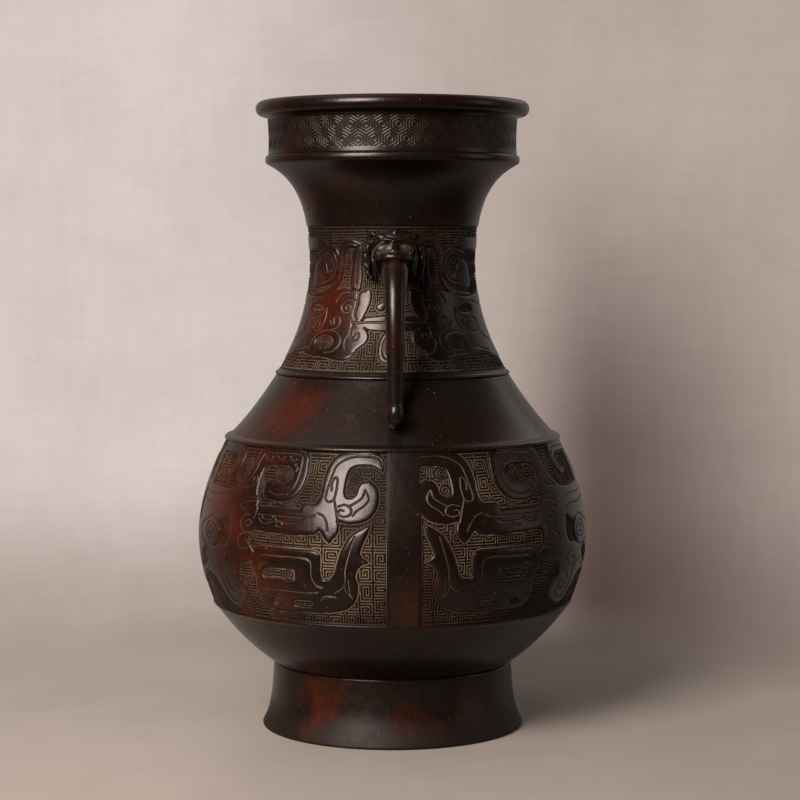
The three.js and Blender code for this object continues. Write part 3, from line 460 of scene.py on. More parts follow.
bellyIncised = {
    "cheekLine": [(49.6, 129), (46.9, 128.6), (45.6, 126.4), (45.8, 122.4), (46.5, 119)],
    "gapCurl": [(44.2, 93.4), (43.6, 95.6), (41.9, 97.2), (40.4, 97.3)],
    "cCurlTop": [(47.8, 149.3), (46.2, 147.6), (44.6, 148.8), (45.4, 149.8)],
    "cCurlMiddle": [(42.6, 149.6), (41, 148), (39.4, 149.6)],
    "cCurlRight": [(37.4, 149.8), (36, 147.8), (34.4, 148.8)],
    "cCurlSide": [(34.6, 146), (33.6, 144.6), (34, 143)],
    "barLow": [(43.4, 121.6), (42.6, 119.4), (40.2, 119), (38.9, 120.6), (37.4, 118.4)],
    "headInner": [(6.4, 146.4), (6.8, 149.4), (8.6, 150.8), (14.5, 151.2), (18, 149.7), (20.7, 146.6),
        (21.5, 143.4), (22.4, 137.4), (23, 131.4), (22.4, 129.4), (20.6, 130.1), (20, 133.4), (19.8, 138.2),
        (20.4, 141), (21.5, 138.6), (21.4, 134.8)],
    "jawEdge": [(20.2, 130), (19.2, 124), (18.6, 119)],
    "jawCurl": [(11, 135.2), (9.9, 131.1), (11.2, 127.6), (13.3, 125.2), (14.4, 122.9)],
    "jawCurl2": [(11.1, 135.2), (11.9, 131.6), (13.8, 129.1), (15.8, 127.2)],
    "jawSpiral": [(18.9, 127.2), (16.9, 128), (15.2, 126.6), (15, 123.8), (16.8, 122.3), (18.6, 123.4),
        (18.4, 125.4), (17.2, 125.2)],
    "neckLine": [(25, 123.5), (23.2, 122.2), (22, 119.2), (21.5, 114.9)],
    "barTop": [(44.6, 121.2), (36, 121.2), (28, 121.4), (25.6, 122.6)],
    "barScroll": [(44.4, 119.6), (43, 117.2), (40.8, 117.4), (39, 118.4), (36.9, 118.9), (34, 117.9),
        (31.4, 118.3), (29.2, 119.8)],
    "barKnot": [(37.9, 116.7), (36.6, 115.9), (35.5, 117.1), (36.4, 118.5), (37.8, 118.1)],
    "featherVein": [(13.7, 113), (14.6, 108), (15.6, 101.8), (16.4, 95.5), (16.4, 91.5), (17.3, 87.4),
        (19.4, 85)],
    "featherBranch": [(16.8, 88.6), (16.4, 85.8), (15.2, 83.1)],
    "lowerLine": [(42.4, 101.4), (35, 101.5), (27.9, 101.4), (26.4, 99.6), (26.3, 92), (25, 88.3),
        (23, 87.2)],
    "lowerBar": [(44.9, 84), (36, 84), (28, 84), (24.4, 84.6)],
    "lowerEnd": [(44.9, 80.5), (43.4, 81.2), (41.5, 83.7)],
    "footCurl": [(24, 80.4), (23, 82.3), (21.2, 83), (19.4, 82.6)],
    "toeHook": [(15.6, 91), (15.4, 87.6), (15.2, 84.2), (14.6, 82.2)],
    "cLine": [(46.9, 150.9), (41, 151.2), (34.2, 151), (32.7, 149.3), (32.4, 143), (33.2, 136.4),
        (34.8, 133), (38.3, 131.5), (41, 131.7), (42.2, 132.7)],
    "armLine": [(48.8, 150.5), (50, 145.5), (50.5, 141.8), (53.4, 135.7), (55.2, 133.1), (55.2, 133.1),
        (51.4, 133.8), (49, 135.6), (48.3, 138), (49, 139.6), (50.1, 138.6), (50.2, 136.8)],
    "scrollA": [(48.2, 120.2), (50.6, 120.4), (51.8, 117.6), (51.6, 114), (49.8, 111.6), (47.2, 112.2),
        (45.8, 114.6)],
    "scrollA2": [(46.8, 127.2), (49.4, 126.9), (51.6, 126.2), (53.2, 124.6), (52.4, 122.9), (50.8, 123.4)],
    "curlA": [(49.9, 117.2), (48.6, 118), (47.4, 117), (47.8, 115.4), (49.2, 115)],
    "scrollB": [(50.3, 111.2), (52.2, 109.3), (52.6, 106.4), (51.4, 103.6), (49.3, 103.1), (47.8, 104.7),
        (48, 107), (49.6, 107.6)],
    "jawScroll": [(54.2, 89.8), (57.2, 88.9), (58.9, 85.6), (58, 81.4), (55.8, 80), (54, 82), (54.6, 84.5),
        (56.2, 83.6)],
    "jawLine": [(52.8, 79.4), (54.6, 76.4), (57.4, 75), (59.8, 77.2), (61.4, 81.4), (62.2, 86), (63, 89.8),
        (65, 92.6), (69, 93.4)],
    "eyeRing": [(72.6, 108.8), (71.4, 112), (68.5, 113.2), (65.6, 112), (64.4, 108.8), (65.6, 105.6),
        (68.5, 104.4), (71.4, 105.6), (72.6, 108.8)],
    "pupil": [(70.4, 108.8), (69.8, 110.2), (68.5, 110.8), (67.2, 110.2), (66.6, 108.8), (67.2, 107.4),
        (68.5, 106.8), (69.8, 107.4), (70.4, 108.8)],
    "almondTop": [(79, 108), (76.6, 111.3), (73.3, 113.6), (70.4, 115.7), (67.2, 116.8), (64.8, 115.3),
        (63.6, 114.2)],
    "almondLow": [(79, 108), (76.8, 104), (73, 101.4), (69.4, 100.6), (66.4, 101)],
    "cheekCurl": [(60.2, 98.6), (57.9, 98.4), (57.5, 95), (58.9, 91.9), (61.4, 91), (63, 93.4),
        (61.9, 95.9), (60.4, 95.3)],
    "lipTop": [(88, 90), (84, 90.4), (80.4, 92.6), (77.4, 96.4), (73.2, 99.8), (70, 101)],
    "lipLow": [(88, 84.4), (84, 84.4), (80, 86.6), (76.6, 86.6), (73, 88), (69.6, 91.4)],
    "browLine": [(88, 137.6), (84.6, 131), (80, 128), (72, 127.4), (64, 127.6), (59.4, 127)],
    "browLow": [(80, 124), (74, 123), (67, 122.6), (61, 122.4), (58.4, 120.6)],
    "hornLine": [(77.6, 150.6), (70.2, 150.9), (62.8, 150.7), (61.1, 149), (61, 145.6), (62.2, 141.8),
        (64.2, 139.6)],
    "noseSide": [(87.9, 142), (87.9, 120), (87.6, 104), (86, 98), (84.4, 94.6), (85.6, 91.4), (88.4, 91.2),
        (90.6, 92.4)],
    "nostril": [(88.9, 95.8), (87.4, 96.4), (86.6, 94.6), (87.6, 93.3)],
}

neckRaised = {
    "tail": [(90.8, 258.6), (70.8, 258.4), (58.8, 258.2), (52.8, 256.4), (47.8, 254.2), (47.8, 254.2),
        (54.8, 253.6), (62.8, 253.4), (90.8, 253.2)],
    "horn": [(64.8, 233.5), (54.8, 233.8), (46.8, 234.7), (41.8, 236.5), (38.3, 240), (37, 245),
        (37.4, 249.5), (39.8, 252.8), (43.8, 253.8), (48.8, 253.4), (54.8, 251.8), (58.8, 250.6),
        (54.8, 250.4), (49.8, 251.6), (45.2, 250.6), (42, 247.4), (41.2, 243.6), (43.2, 240.9),
        (47.2, 240.2), (49, 242), (49.8, 244.6), (52.8, 246.6), (57.2, 247.4), (61.8, 246), (64.8, 242.4),
        (65.8, 238)],
    "ribbon": [(19.4, 255.2), (19.4, 255.2), (22.8, 256.6), (26.8, 257.4), (31.8, 256.7), (35.8, 253.6),
        (37.2, 250), (36.6, 244), (37.8, 239), (40.8, 235.2), (45.8, 232.4), (54.8, 230.4), (64.8, 230),
        (64.8, 229.4), (54.8, 229.4), (44.8, 230.4), (38.8, 233), (35.2, 237), (33.6, 242), (33, 247),
        (32, 251.2), (28.8, 253.6), (23.8, 254)],
    "strap": [(26.2, 249.6), (24.2, 252.8), (19.8, 254.6), (19.8, 254.6), (18.8, 251.4), (19.4, 246),
        (19.2, 240), (19.7, 235), (21.2, 231.5), (24.8, 231.8), (27.4, 234.5), (27, 240), (26, 245)],
    "body": [(90.8, 228.4), (70.8, 228.8), (60.8, 228), (52.8, 228.6), (44.8, 230.3), (37.3, 231.6),
        (33.8, 232.2), (29.8, 232.2), (25.8, 231.8), (21.8, 232), (21.1, 229), (21.7, 224), (23, 219.4),
        (20.8, 216), (23.4, 213.8), (18.8, 213.6), (15.4, 212.4), (13.3, 210), (13, 207.4), (14.2, 205.4),
        (17, 203.4), (19, 201.8), (20.2, 199.4), (22.8, 197.6), (26.8, 196.9), (31.8, 197.3), (37.3, 198.3),
        (43.8, 198.7), (50.8, 199.2), (58.8, 200.6), (64.8, 200), (72.8, 198.2), (90.8, 197.4)],
    "leaf": [(17.2, 231), (14.8, 232.2), (13, 231.5), (12.6, 227.5), (14.2, 223), (15.8, 220.5),
        (17.8, 217), (20.4, 215.5), (20.4, 215.5), (23, 219.5), (22.4, 222.4), (21.2, 225.6), (21.2, 229),
        (19.3, 230.8)],
    "bars": [(23.6, 215.8), (17.6, 216.2), (15.8, 217.9), (10.8, 218.4), (-3.2, 218.4), (-3.2, 212.4),
        (12.8, 212), (15.8, 213.2), (22.8, 213.7)],
    "petal": [(-3.2, 211), (2.4, 210.4), (5.1, 207), (6.1, 202.5), (5.6, 198.5), (3.8, 196.4),
        (-3.2, 195.6)],
    "tongue": [(8.6, 223.4), (6.8, 221.8), (4.2, 222.2), (3.2, 225.4), (5.6, 225.4)],
}

neckSunken = {
    "disc": [(49, 205.6), (47.4, 208), (44, 209.3), (39.8, 209.3), (36.2, 208.4), (33.8, 206.2),
        (34.2, 203.6), (37.2, 201.8), (41.2, 201.4), (45.6, 202), (48.4, 203.6)],
    "slot": [(54.8, 224.8), (49.8, 223.4), (47.8, 221.4), (50.8, 220.4), (55.8, 220), (60.8, 220.6),
        (62.8, 222.6), (59.8, 224.6)],
}

neckIncised = {
    "hornLine": [(56.8, 235.6), (48.8, 236.4), (43.8, 238.2), (40.4, 241.6), (39.4, 246), (40.6, 249.8),
        (43.8, 252), (48.8, 252.4)],
    "hornCurl": [(49.4, 241.6), (50.4, 239.2), (52.8, 238), (55.4, 238.8), (56.2, 241.2), (54.8, 243.2),
        (52.6, 243), (52, 241.4), (53.4, 240.6)],
    "ribbonLine": [(22.8, 255.3), (27.8, 255.6), (32, 254.4), (34.4, 251.4), (34.8, 247), (35.4, 242.4),
        (37.2, 238.2)],
    "strapLine": [(22.2, 252.4), (23.2, 247), (22.8, 240), (23, 234.4)],
    "leafEdge": [(21.6, 231.6), (21.2, 228.4), (21.9, 224.4), (23.1, 219.6), (21.2, 216.2)],
    "barLine": [(24, 215.4), (17.8, 215.5), (10.8, 215.7), (-1.2, 215.6)],
    "spiral": [(22.4, 226.6), (25.8, 227), (29.8, 226.4), (32.2, 224), (31.4, 221.4), (28.4, 220.4),
        (25.8, 221.4), (25.4, 223.6), (27.4, 224.6), (29, 223.4), (28.2, 222.4)],
    "sCurve": [(37.4, 226), (35.8, 228.4), (33.4, 230.2), (29.8, 230.9), (26.8, 230.8)],
    "commaCurl": [(23.4, 213.4), (24, 210.6), (23.2, 208.2), (20.8, 206.8), (18.6, 207.8), (18.6, 209.8),
        (20.4, 210.4), (21.2, 209)],
    "commaTail": [(24.2, 209.4), (26.2, 205.8), (25.2, 202), (22.2, 199.8), (20.2, 200.4)],
    "discRing": [(68.8, 200.4), (60.8, 201.9), (54.8, 202.9), (52.4, 202.2), (51.8, 205), (49.4, 208.9),
        (44.9, 210.9), (36.3, 211.3), (30.6, 208.8), (29.2, 204.7), (32.5, 201.3), (38.2, 200.2)],
    "hook": [(39.6, 216.4), (38.2, 214.4), (36.2, 214.8), (37, 216.8), (35.4, 218.3), (32.8, 217.9),
        (31.8, 215.4), (33.6, 213), (37.2, 212)],
    "ring": [(54.8, 213.8), (56.2, 216.4), (60.2, 217.5), (64.4, 216.4), (65.8, 213.8), (64.2, 211.2),
        (60.2, 210.2), (56.2, 211.2), (54.8, 213.8)],
    "smallRing": [(48.6, 214.7), (49.4, 216.2), (50.8, 216.6), (52.4, 215.8), (52.8, 214.5), (51.8, 213.3),
        (50.2, 213), (49, 213.6), (48.6, 214.7)],
    "peak": [(55.2, 217.2), (50.4, 218.4), (47.2, 220.2), (44.9, 223), (44.9, 223), (44.2, 218.6),
        (45.4, 214.6), (48.2, 211.6), (52.2, 211.2), (54.8, 213.2)],
    "brow": [(90.8, 224.4), (74.8, 224.6), (64.8, 226), (58.8, 226.2)],
    "mouth": [(90.8, 205.4), (78.8, 205.6), (70.8, 207.4), (67.4, 210)],
    "petalLine": [(1.4, 208.6), (3.4, 205.8), (4, 202.4), (3.4, 199.4), (1.8, 197.6)],
}

# The right half of each belly panel is drawn a little further round than the left one
def rightShift(turn, up):
    low = 4.0 * (1 - ramp(turn, 40, 54))
    high = 3.6 * (1 - ramp(turn, 0, 50))
    return turn + low + (high - low) * ramp(up, 112, 122)


sharedDesign = {
    "slot": "bronze_brown", "backSteps": 5, "wall": 1.6, "rise": 0.36,
    "depth": 0.8, "lineHeight": 0.45, "incisedDepth": 0.45, "pillow": 0.12, "coilPitch": 1.3,
}
bellyDesign = sharedDesign | {
    "name": "belly_band", "sectors": 8, "turn": 2.2, "step": 0.2, "halfColumns": 450, "perDegree": 1.745,
    "low": 66.3, "rows": 242, "top": 152.9, "bottom": 67.6, "plainTurn": 4.3,
    "raised": bellyRaised, "sunken": bellySunken, "incised": bellyIncised, "shift": rightShift,
    "widths": [9, 11, 9, 11, 13], "tall": [9, 13, 11, 11, 9], "rim": 1.05,
    "coils": [((38.6, 141.5), 6.4, 4.2), ((15.1, 142.7), 4.4, 3.2), ((15.4, 134.8), 3, 2.8),
              ((33.4, 92.6), 3.4, 2.8)],
}
carvedBand(bellyDesign, bandLine, carveRound(bellyDesign), replaced=("belly",))
print("belly band carved")

neckDesign = sharedDesign | {
    "name": "neck_band", "sectors": 4, "turn": -2.4, "step": 0.36, "halfColumns": 250, "perDegree": 0.873,
    "low": 190, "rows": 209, "top": 264.9, "bottom": 190.2, "plainTurn": -9,
    "raised": neckRaised, "sunken": neckSunken, "incised": neckIncised,
    "widths": [11, 9, 13, 9, 11], "tall": [9, 11, 9, 13, 9, 11], "rim": 0.95,
    "coils": [((41.2, 205.4), 7.8 * 0.873, 4.1), ((47.6, 246.2), 5.4 * 0.873, 4.2)],
}
carvedBand(neckDesign, neckLine, carveRound(neckDesign), replaced=("neck",))
print("neck band carved")

# Honeycomb on the collar: rows of cells, each with nested hexagons
honeyDesign = {
    "name": "collar_band", "slot": "bronze_red", "sectors": 3, "backSteps": 6, "wall": 1.6,
    "turn": 0, "low": 303.5, "rise": 0.25, "rows": 69, "columns": 1500, "zone": (303.9, 320.2),
    "cells": 50, "cellWidth": 8.2, "firstCell": 1.6, "rowHeights": [300.7, 307.8, 315, 322.1],
    "hexagons": (4.1, 2.75, 1.35), "depth": 0.22,
}


def carveHoneycomb(design):
    turns = np.arange(design["columns"]) * 360 / design["columns"]
    turn, up = np.meshgrid(turns, heightsOf(design))
    pitch = 360 / design["cells"]
    perDegree = design["cellWidth"] / pitch
    nearest = np.full(turn.shape, farAway)
    for row, height in enumerate(design["rowHeights"]):
        start = design["firstCell"] + (pitch / 2 if row % 2 == 1 else 0)
        x = (turn - start + pitch / 2) % pitch - pitch / 2
        x, y = np.abs(x) * perDegree, np.abs(up - height)
        nearest = np.minimum(nearest, np.maximum(x, x * 0.5 + y * 0.866))
    line = np.minimum.reduce([np.abs(nearest - place) for place in design["hexagons"]])
    worn = 0.75 + 0.25 * np.sin(np.radians(turn * 3 + 40)) * np.cos(np.radians(turn * 5))
    ridge = ramp(line, 0.42, 0.1) * worn
    border = np.minimum(up - design["zone"][0], design["zone"][1] - up)
    inside = ramp(border, 0, 0.5)
    carved = -design["depth"] * inside * (1 - ridge)
    # The second sheet is pale beige on the honeycomb ridges: partly dust, partly painted highlight
    return carved, 0.85 * inside * ridge, 0.4 * inside


carvedBand(honeyDesign, collarLine, carveHoneycomb(honeyDesign), replaced=("mouth_collar",))
print("collar band carved")


# Handles, drawn for the front: across, out from the axis, height
def placeOn(point):
    return Vector((point[0] * mm, -point[1] * mm, point[2] * mm))


# The object's mesh with its modifiers or its thickness worked out. The object itself is taken away.
def finishedMesh(item):
    bpy.context.view_layer.update()
    mesh = bpy.data.meshes.new_from_object(item.evaluated_get(bpy.context.evaluated_depsgraph_get()))
    bpy.data.objects.remove(item)
    return mesh


# A rod through points with a radius each, with rounded ends unless it is closed
def addTube(bm, points, closed=False, steps=8, sides=6):
    line = smoothLine(points, closed=closed, steps=steps)
    data = bpy.data.curves.new("tube", "CURVE")
    data.dimensions, data.bevel_depth, data.bevel_resolution = "3D", mm, sides
    data.use_fill_caps = True
    spline = data.splines.new("POLY")
    spline.points.add(len(line) - 1)
    for point, place in zip(spline.points, line):
        point.co, point.radius = (*placeOn(place), 1), place[3]
    spline.use_cyclic_u = closed
    mesh = finishedMesh(addObject("tube", data))
    bpy.data.curves.remove(data)
    bm.from_mesh(mesh)
    bpy.data.meshes.remove(mesh)
    if not closed:
        for end in (line[0], line[-1]):
            addEgg(bm, end[:3], (end[3],) * 3)


def addEgg(bm, middle, half, tilt=0):
    matrix = Matrix.Translation(placeOn(middle)) @ Matrix.Rotation(tilt, 4, "Y")
    matrix @= Matrix.Diagonal((half[0] * mm, half[1] * mm, half[2] * mm, 1))
    bmesh.ops.create_uvsphere(bm, u_segments=32, v_segments=20, radius=1, matrix=matrix)


def mirrored(points, side):
    return [(side * p[0], *p[1:]) for p in points]


# Two strands twisted round a line, thinner than it and closer together towards its end
def ropeStrands(points, turns, offset, thin):
    line = smoothLine(points, steps=10)
    way = np.linspace(0, 1, len(line))
    strands = []
    for start in (0, math.pi):
        angle = start + way * turns * 2 * math.pi
        width = offset * (1 - 0.5 * way)
        strand = line.copy()
        strand[:, 0] += width * np.cos(angle)
        strand[:, 1] += width * np.sin(angle)
        strand[:, 3] = line[:, 3] * thin
        strands.append(strand[::4])
    return strands


# Fuses overlapping parts into one skin, and marks its hollows and edges for the patina
def fusedSkin(bm, name, voxel, smoothing):
    raw = addObject(name, meshFrom(bm, name))
    remesh = raw.modifiers.new("fuse", "REMESH")
    remesh.mode, remesh.voxel_size, remesh.use_smooth_shade = "VOXEL", voxel * mm, True
    smooth = raw.modifiers.new("smooth", "SMOOTH")
    smooth.factor, smooth.iterations = 0.5, smoothing
    skin = finishedMesh(raw)
    markHollows(skin)
    return skin


# Compares the skin with a blurred copy: where it lies below the copy, there is a hollow
def markHollows(mesh, rounds=14, share=0.6):
    count = len(mesh.vertices)
    places, normals = np.zeros(count * 3), np.zeros(count * 3)
    ends = np.zeros(len(mesh.edges) * 2, int)
    mesh.vertices.foreach_get("co", places)
    mesh.vertices.foreach_get("normal", normals)
    mesh.edges.foreach_get("vertices", ends)
    places, normals, ends = places.reshape(-1, 3), normals.reshape(-1, 3), ends.reshape(-1, 2)
    neighbours = np.bincount(ends.ravel(), minlength=count)[:, None]
    spread = places.copy()
    for _ in range(rounds):
        total = np.zeros_like(spread)
        np.add.at(total, ends[:, 0], spread[ends[:, 1]])
        np.add.at(total, ends[:, 1], spread[ends[:, 0]])
        spread = (1 - share) * spread + share * total / np.maximum(neighbours, 1)
    hollow = ((spread - places) * normals).sum(1) / mm
    for name, values in (("dust", ramp(hollow, 0.03, 0.2)), ("sunk", ramp(hollow, -0.05, 0.12))):
        mesh.attributes.new(name, "FLOAT", "POINT").data.foreach_set("value", values.astype(np.float32))


mask = {
    "voxel": 0.34, "smoothing": 4, "eye": (5.2, 59.6, 253.1), "eyeHalf": (3.7, 1.5, 2.3),
    "eyeFront": -58, "dustyHalf": (3.7, 2.4), "eyeDust": 0.67,
    "deepBehind": -59.5, "deep": 0.4, "shallow": 0.15,
}


def maskSkin():
    bm = bmesh.new()
    addEgg(bm, (0, 47, 250.5), (12, 11, 12.8))
    addEgg(bm, (0, 53, 257), (10.4, 8, 6.8))
    addEgg(bm, (0, 53.5, 251), (10.8, 8.5, 8.6))
    addEgg(bm, (0, 61.4, 249), (8.4, 7, 3.3))
    addTube(bm, [(0, 48, 250, 7), (0, 54, 248, 7.4), (0, 60.5, 246.2, 6.6)], sides=8)
    addTube(bm, [(0, 60, 257.2, 1), (0, 62.4, 255.4, 1.3), (0, 64.8, 253.2, 1.6), (0, 66.4, 251, 2.1)])
    addTube(bm, [(-8.3, 61.6, 247.6, 0.7), (-6, 64.2, 249, 0.9), (-3, 66.4, 250.6, 1.1),
                 (0, 67, 251.9, 1.5), (3, 66.4, 250.6, 1.1), (6, 64.2, 249, 0.9),
                 (8.3, 61.6, 247.6, 0.7)])
    addTube(bm, [(0, 58.4, 259.8, 1.5), (0.4, 58.2, 261.6, 1.4), (1.2, 56.6, 263, 0.8)])
    addTube(bm, [(-1.4, 57.6, 261.4, 0.9), (-2.6, 56.6, 262.2, 0.7), (-3.4, 55, 262.4, 0.5)])
    eyeAcross, eyeOut, eyeUp = mask["eye"]
    eyeRim = [(5.3 + 4.3 * math.cos(a), 60.3 - 0.9 * abs(math.cos(a)) * (math.cos(a) > 0),
               253.2 + 3 * math.sin(a) - 0.5 * math.cos(a), 0.5)
              for a in np.linspace(0, 2 * math.pi, 16, endpoint=False)]
    ridges = [
        [(0.9, 61, 257.2, 0.9), (4.6, 60.4, 257.8, 0.8), (8.2, 58.4, 256.6, 0.8),
         (10.2, 56, 254, 0.8), (10.8, 54.6, 251.6, 0.6)],
        [(9.4, 54.4, 259.8, 0.9), (11.2, 53.4, 260.8, 1.2), (12, 52.4, 260, 1.3),
         (12.2, 51.6, 258.4, 1)],
        [(10.1, 57, 252.4, 0.9), (10.9, 57, 248, 1.1), (10, 57.4, 244, 1.2),
         (9.7, 57.2, 240, 1), (8.9, 57.6, 236.4, 0.5)],
        [(8.4, 59.8, 250, 0.8), (9.6, 58.8, 246, 1), (8.8, 58.6, 242, 0.8)],
    ]
    rope = [(10.2, 53, 257, 1.9), (13, 50.6, 253, 2.1), (14, 49.6, 247.4, 2.1),
            (13.4, 49.4, 242, 2), (11.6, 50.2, 238, 1.4)]
    for side in (-1, 1):
        addEgg(bm, (side * eyeAcross, eyeOut, eyeUp), mask["eyeHalf"], side * 0.12)
        addTube(bm, mirrored(eyeRim, side), closed=True, steps=3)
        addEgg(bm, (side * 5.2, 56.4, 258.6), (5, 3.4, 2.4), -side * 0.2)
        for ridge in ridges:
            addTube(bm, mirrored(ridge, side))
        for strand in ropeStrands(mirrored(rope, side), 2.6 * side, 1, 0.62):
            addTube(bm, strand, steps=3)
        addEgg(bm, (side * 12.9, 47.6, 246), (1.6, 4, 8.6))
    skin = fusedSkin(bm, "mask", mask["voxel"], mask["smoothing"])
    dust, sunk = skin.attributes["dust"].data, skin.attributes["sunk"].data
    for vert in skin.vertices:
        across = (abs(vert.co.x) / mm - eyeAcross) / mask["dustyHalf"][0]
        up = (vert.co.z / mm - eyeUp) / mask["dustyHalf"][1]
        if vert.co.y < mask["eyeFront"] * mm and math.hypot(across, up) < 1:
            dust[vert.index].value = mask["eyeDust"]
        else:
            least = mask["deep"] if vert.co.y > mask["deepBehind"] * mm else mask["shallow"]
            sunk[vert.index].value = max(sunk[vert.index].value, least)
    return skin


# The trunk leaves the muzzle, arches down and ends in a curl that rests on the shoulder
trunk = {
    "voxel": 0.45, "smoothing": 3, "root": (0, 62.1, 244.7), "slope": math.radians(38), "curl": 4.4,
    "curlTurn": 195, "curlThick": 3.6, "seatHeight": 155.9 + 11.5, "seatGap": 0.3,
    "leavePull": 27, "arrivePull": 38, "tenon": 7, "tenonRadius": 4.4,
}


def trunkSkin():
    root, curl, seatHeight = np.array(trunk["root"]), trunk["curl"], trunk["seatHeight"]
    leaves = np.array([0, math.cos(trunk["slope"]), -math.sin(trunk["slope"])])
    seat = np.array([radiusAt(shoulderLine, seatHeight), seatHeight])
    lean = radiusAt(shoulderLine, seatHeight + 1) - radiusAt(shoulderLine, seatHeight - 1)
    away = np.array([2, -lean]) / math.hypot(2, lean)
    centre = np.array([0, *(seat + away * (trunk["seatGap"] + trunk["curlThick"] + curl))])
    curlStart = centre - [0, curl, 0]
    first, last = root + trunk["leavePull"] * leaves, curlStart + [0, 0, trunk["arrivePull"]]
    bow = curve(root, first, last, curlStart, 36)
    turns = np.radians(np.linspace(0, trunk["curlTurn"], 17))[1:, None]
    curled = centre + curl * np.concatenate([0 * turns, -np.cos(turns), -np.sin(turns)], 1)
    path = np.concatenate([bow, curled])
    run = np.concatenate([[0], np.cumsum(np.linalg.norm(np.diff(path, axis=0), axis=1))])
    way = run / run[-1]
    radii = 5.1 - 1.5 * way + 2.6 * np.exp(-5.5 * way) + 0.45 * np.exp(-(((way - 0.96) / 0.06) ** 2))
    radii -= 2.6 * np.exp(-((way / 0.03) ** 2))
    bm = bmesh.new()
    tenon = [(*(root + reach * leaves), trunk["tenonRadius"]) for reach in (-trunk["tenon"], 1)]
    addTube(bm, tenon, sides=8)
    addTube(bm, np.column_stack([path, radii]), steps=2, sides=14)
    return fusedSkin(bm, "trunk", trunk["voxel"], trunk["smoothing"])


for part, skin in (("mask", maskSkin()), ("trunk", trunkSkin())):
    for end, turn in (("front", 0), ("rear", math.pi)):
        mesh = skin.copy()
        mesh.transform(Matrix.Rotation(turn, 4, "Z"))
        mesh.name = f"{end}_{part}_cast"
        linkPiece(mesh, f"{end}_{part}_cast", (f"{end}_{part}",))
    bpy.data.meshes.remove(skin)
print("handles made")


# Materials. addNode gives back a new node's outputs. The helpers below it add a node to the tree
# that their first socket belongs to.
def addNode(tree, kind, inputs=(), **settings):
    node = tree.nodes.new(kind)
    for key, value in settings.items():
        setattr(node, key, value)
    for key, value in dict(inputs).items():
        if isinstance(value, bpy.types.NodeSocket):
            tree.links.new(value, node.inputs[key])
        else:
            node.inputs[key].default_value = value
    return node.outputs


def calc(kind, *values):
    socket = next(value for value in values if isinstance(value, bpy.types.NodeSocket))
    return addNode(socket.id_data, "ShaderNodeMath", dict(enumerate(values)), operation=kind)[0]


def times(first, *others):
    for other in others:
        first = calc("MULTIPLY", first, other)
    return first


def plus(first, *others):
    for other in others:
        first = calc("ADD", first, other)
    return first


def vectorCalc(kind, first, second):
    return addNode(first.id_data, "ShaderNodeVectorMath", {0: first, 1: second}, operation=kind)


def stepped(value, low, high, bottom=0, top=1):
    inputs = {0: value, 1: low, 2: high, 3: bottom, 4: top}
    return addNode(value.id_data, "ShaderNodeMapRange", inputs, interpolation_type="SMOOTHSTEP")[0]


def mixed(share, first, second):
    inputs = {0: share, 6: first, 7: second}
    return addNode(share.id_data, "ShaderNodeMix", inputs, data_type="RGBA")[2]


def noise(place, scale, detail=3, rough=0.55, twist=0):
    inputs = {"Vector": place, "Scale": scale, "Detail": detail, "Roughness": rough, "Distortion": twist}
    return addNode(place.id_data, "ShaderNodeTexNoise", inputs)["Fac"]


# How strongly a place lies inside a soft round patch
def nearness(place, middle, reach):
    away = vectorCalc("DISTANCE", place, [c * mm for c in middle])["Value"]
    return stepped(away, reach * mm, 0)


def patchSum(place, patches, start):
    total = start
    for middle, reach, strength in patches:
        total = plus(total, times(nearness(place, middle, reach), strength))
    return total


def emptyTree(owner):
    owner.use_nodes = True
    owner.node_tree.nodes.clear()
    return owner.node_tree


patina = {
    "brown": (0.0050, 0.0022, 0.0013, 1), "red": (0.036, 0.0060, 0.0015, 1),
    "green": (0.0038, 0.0036, 0.0028, 1), "worn": (0.012, 0.006, 0.0036, 1),
    "dust": (0.155, 0.117, 0.077, 1), "paleSpeck": (0.1, 0.083, 0.06, 1),
    "roughness": 0.255, "dustAndSheenRoughness": 0.85, "gleam": 0.5, "footGleam": 0.36,
}


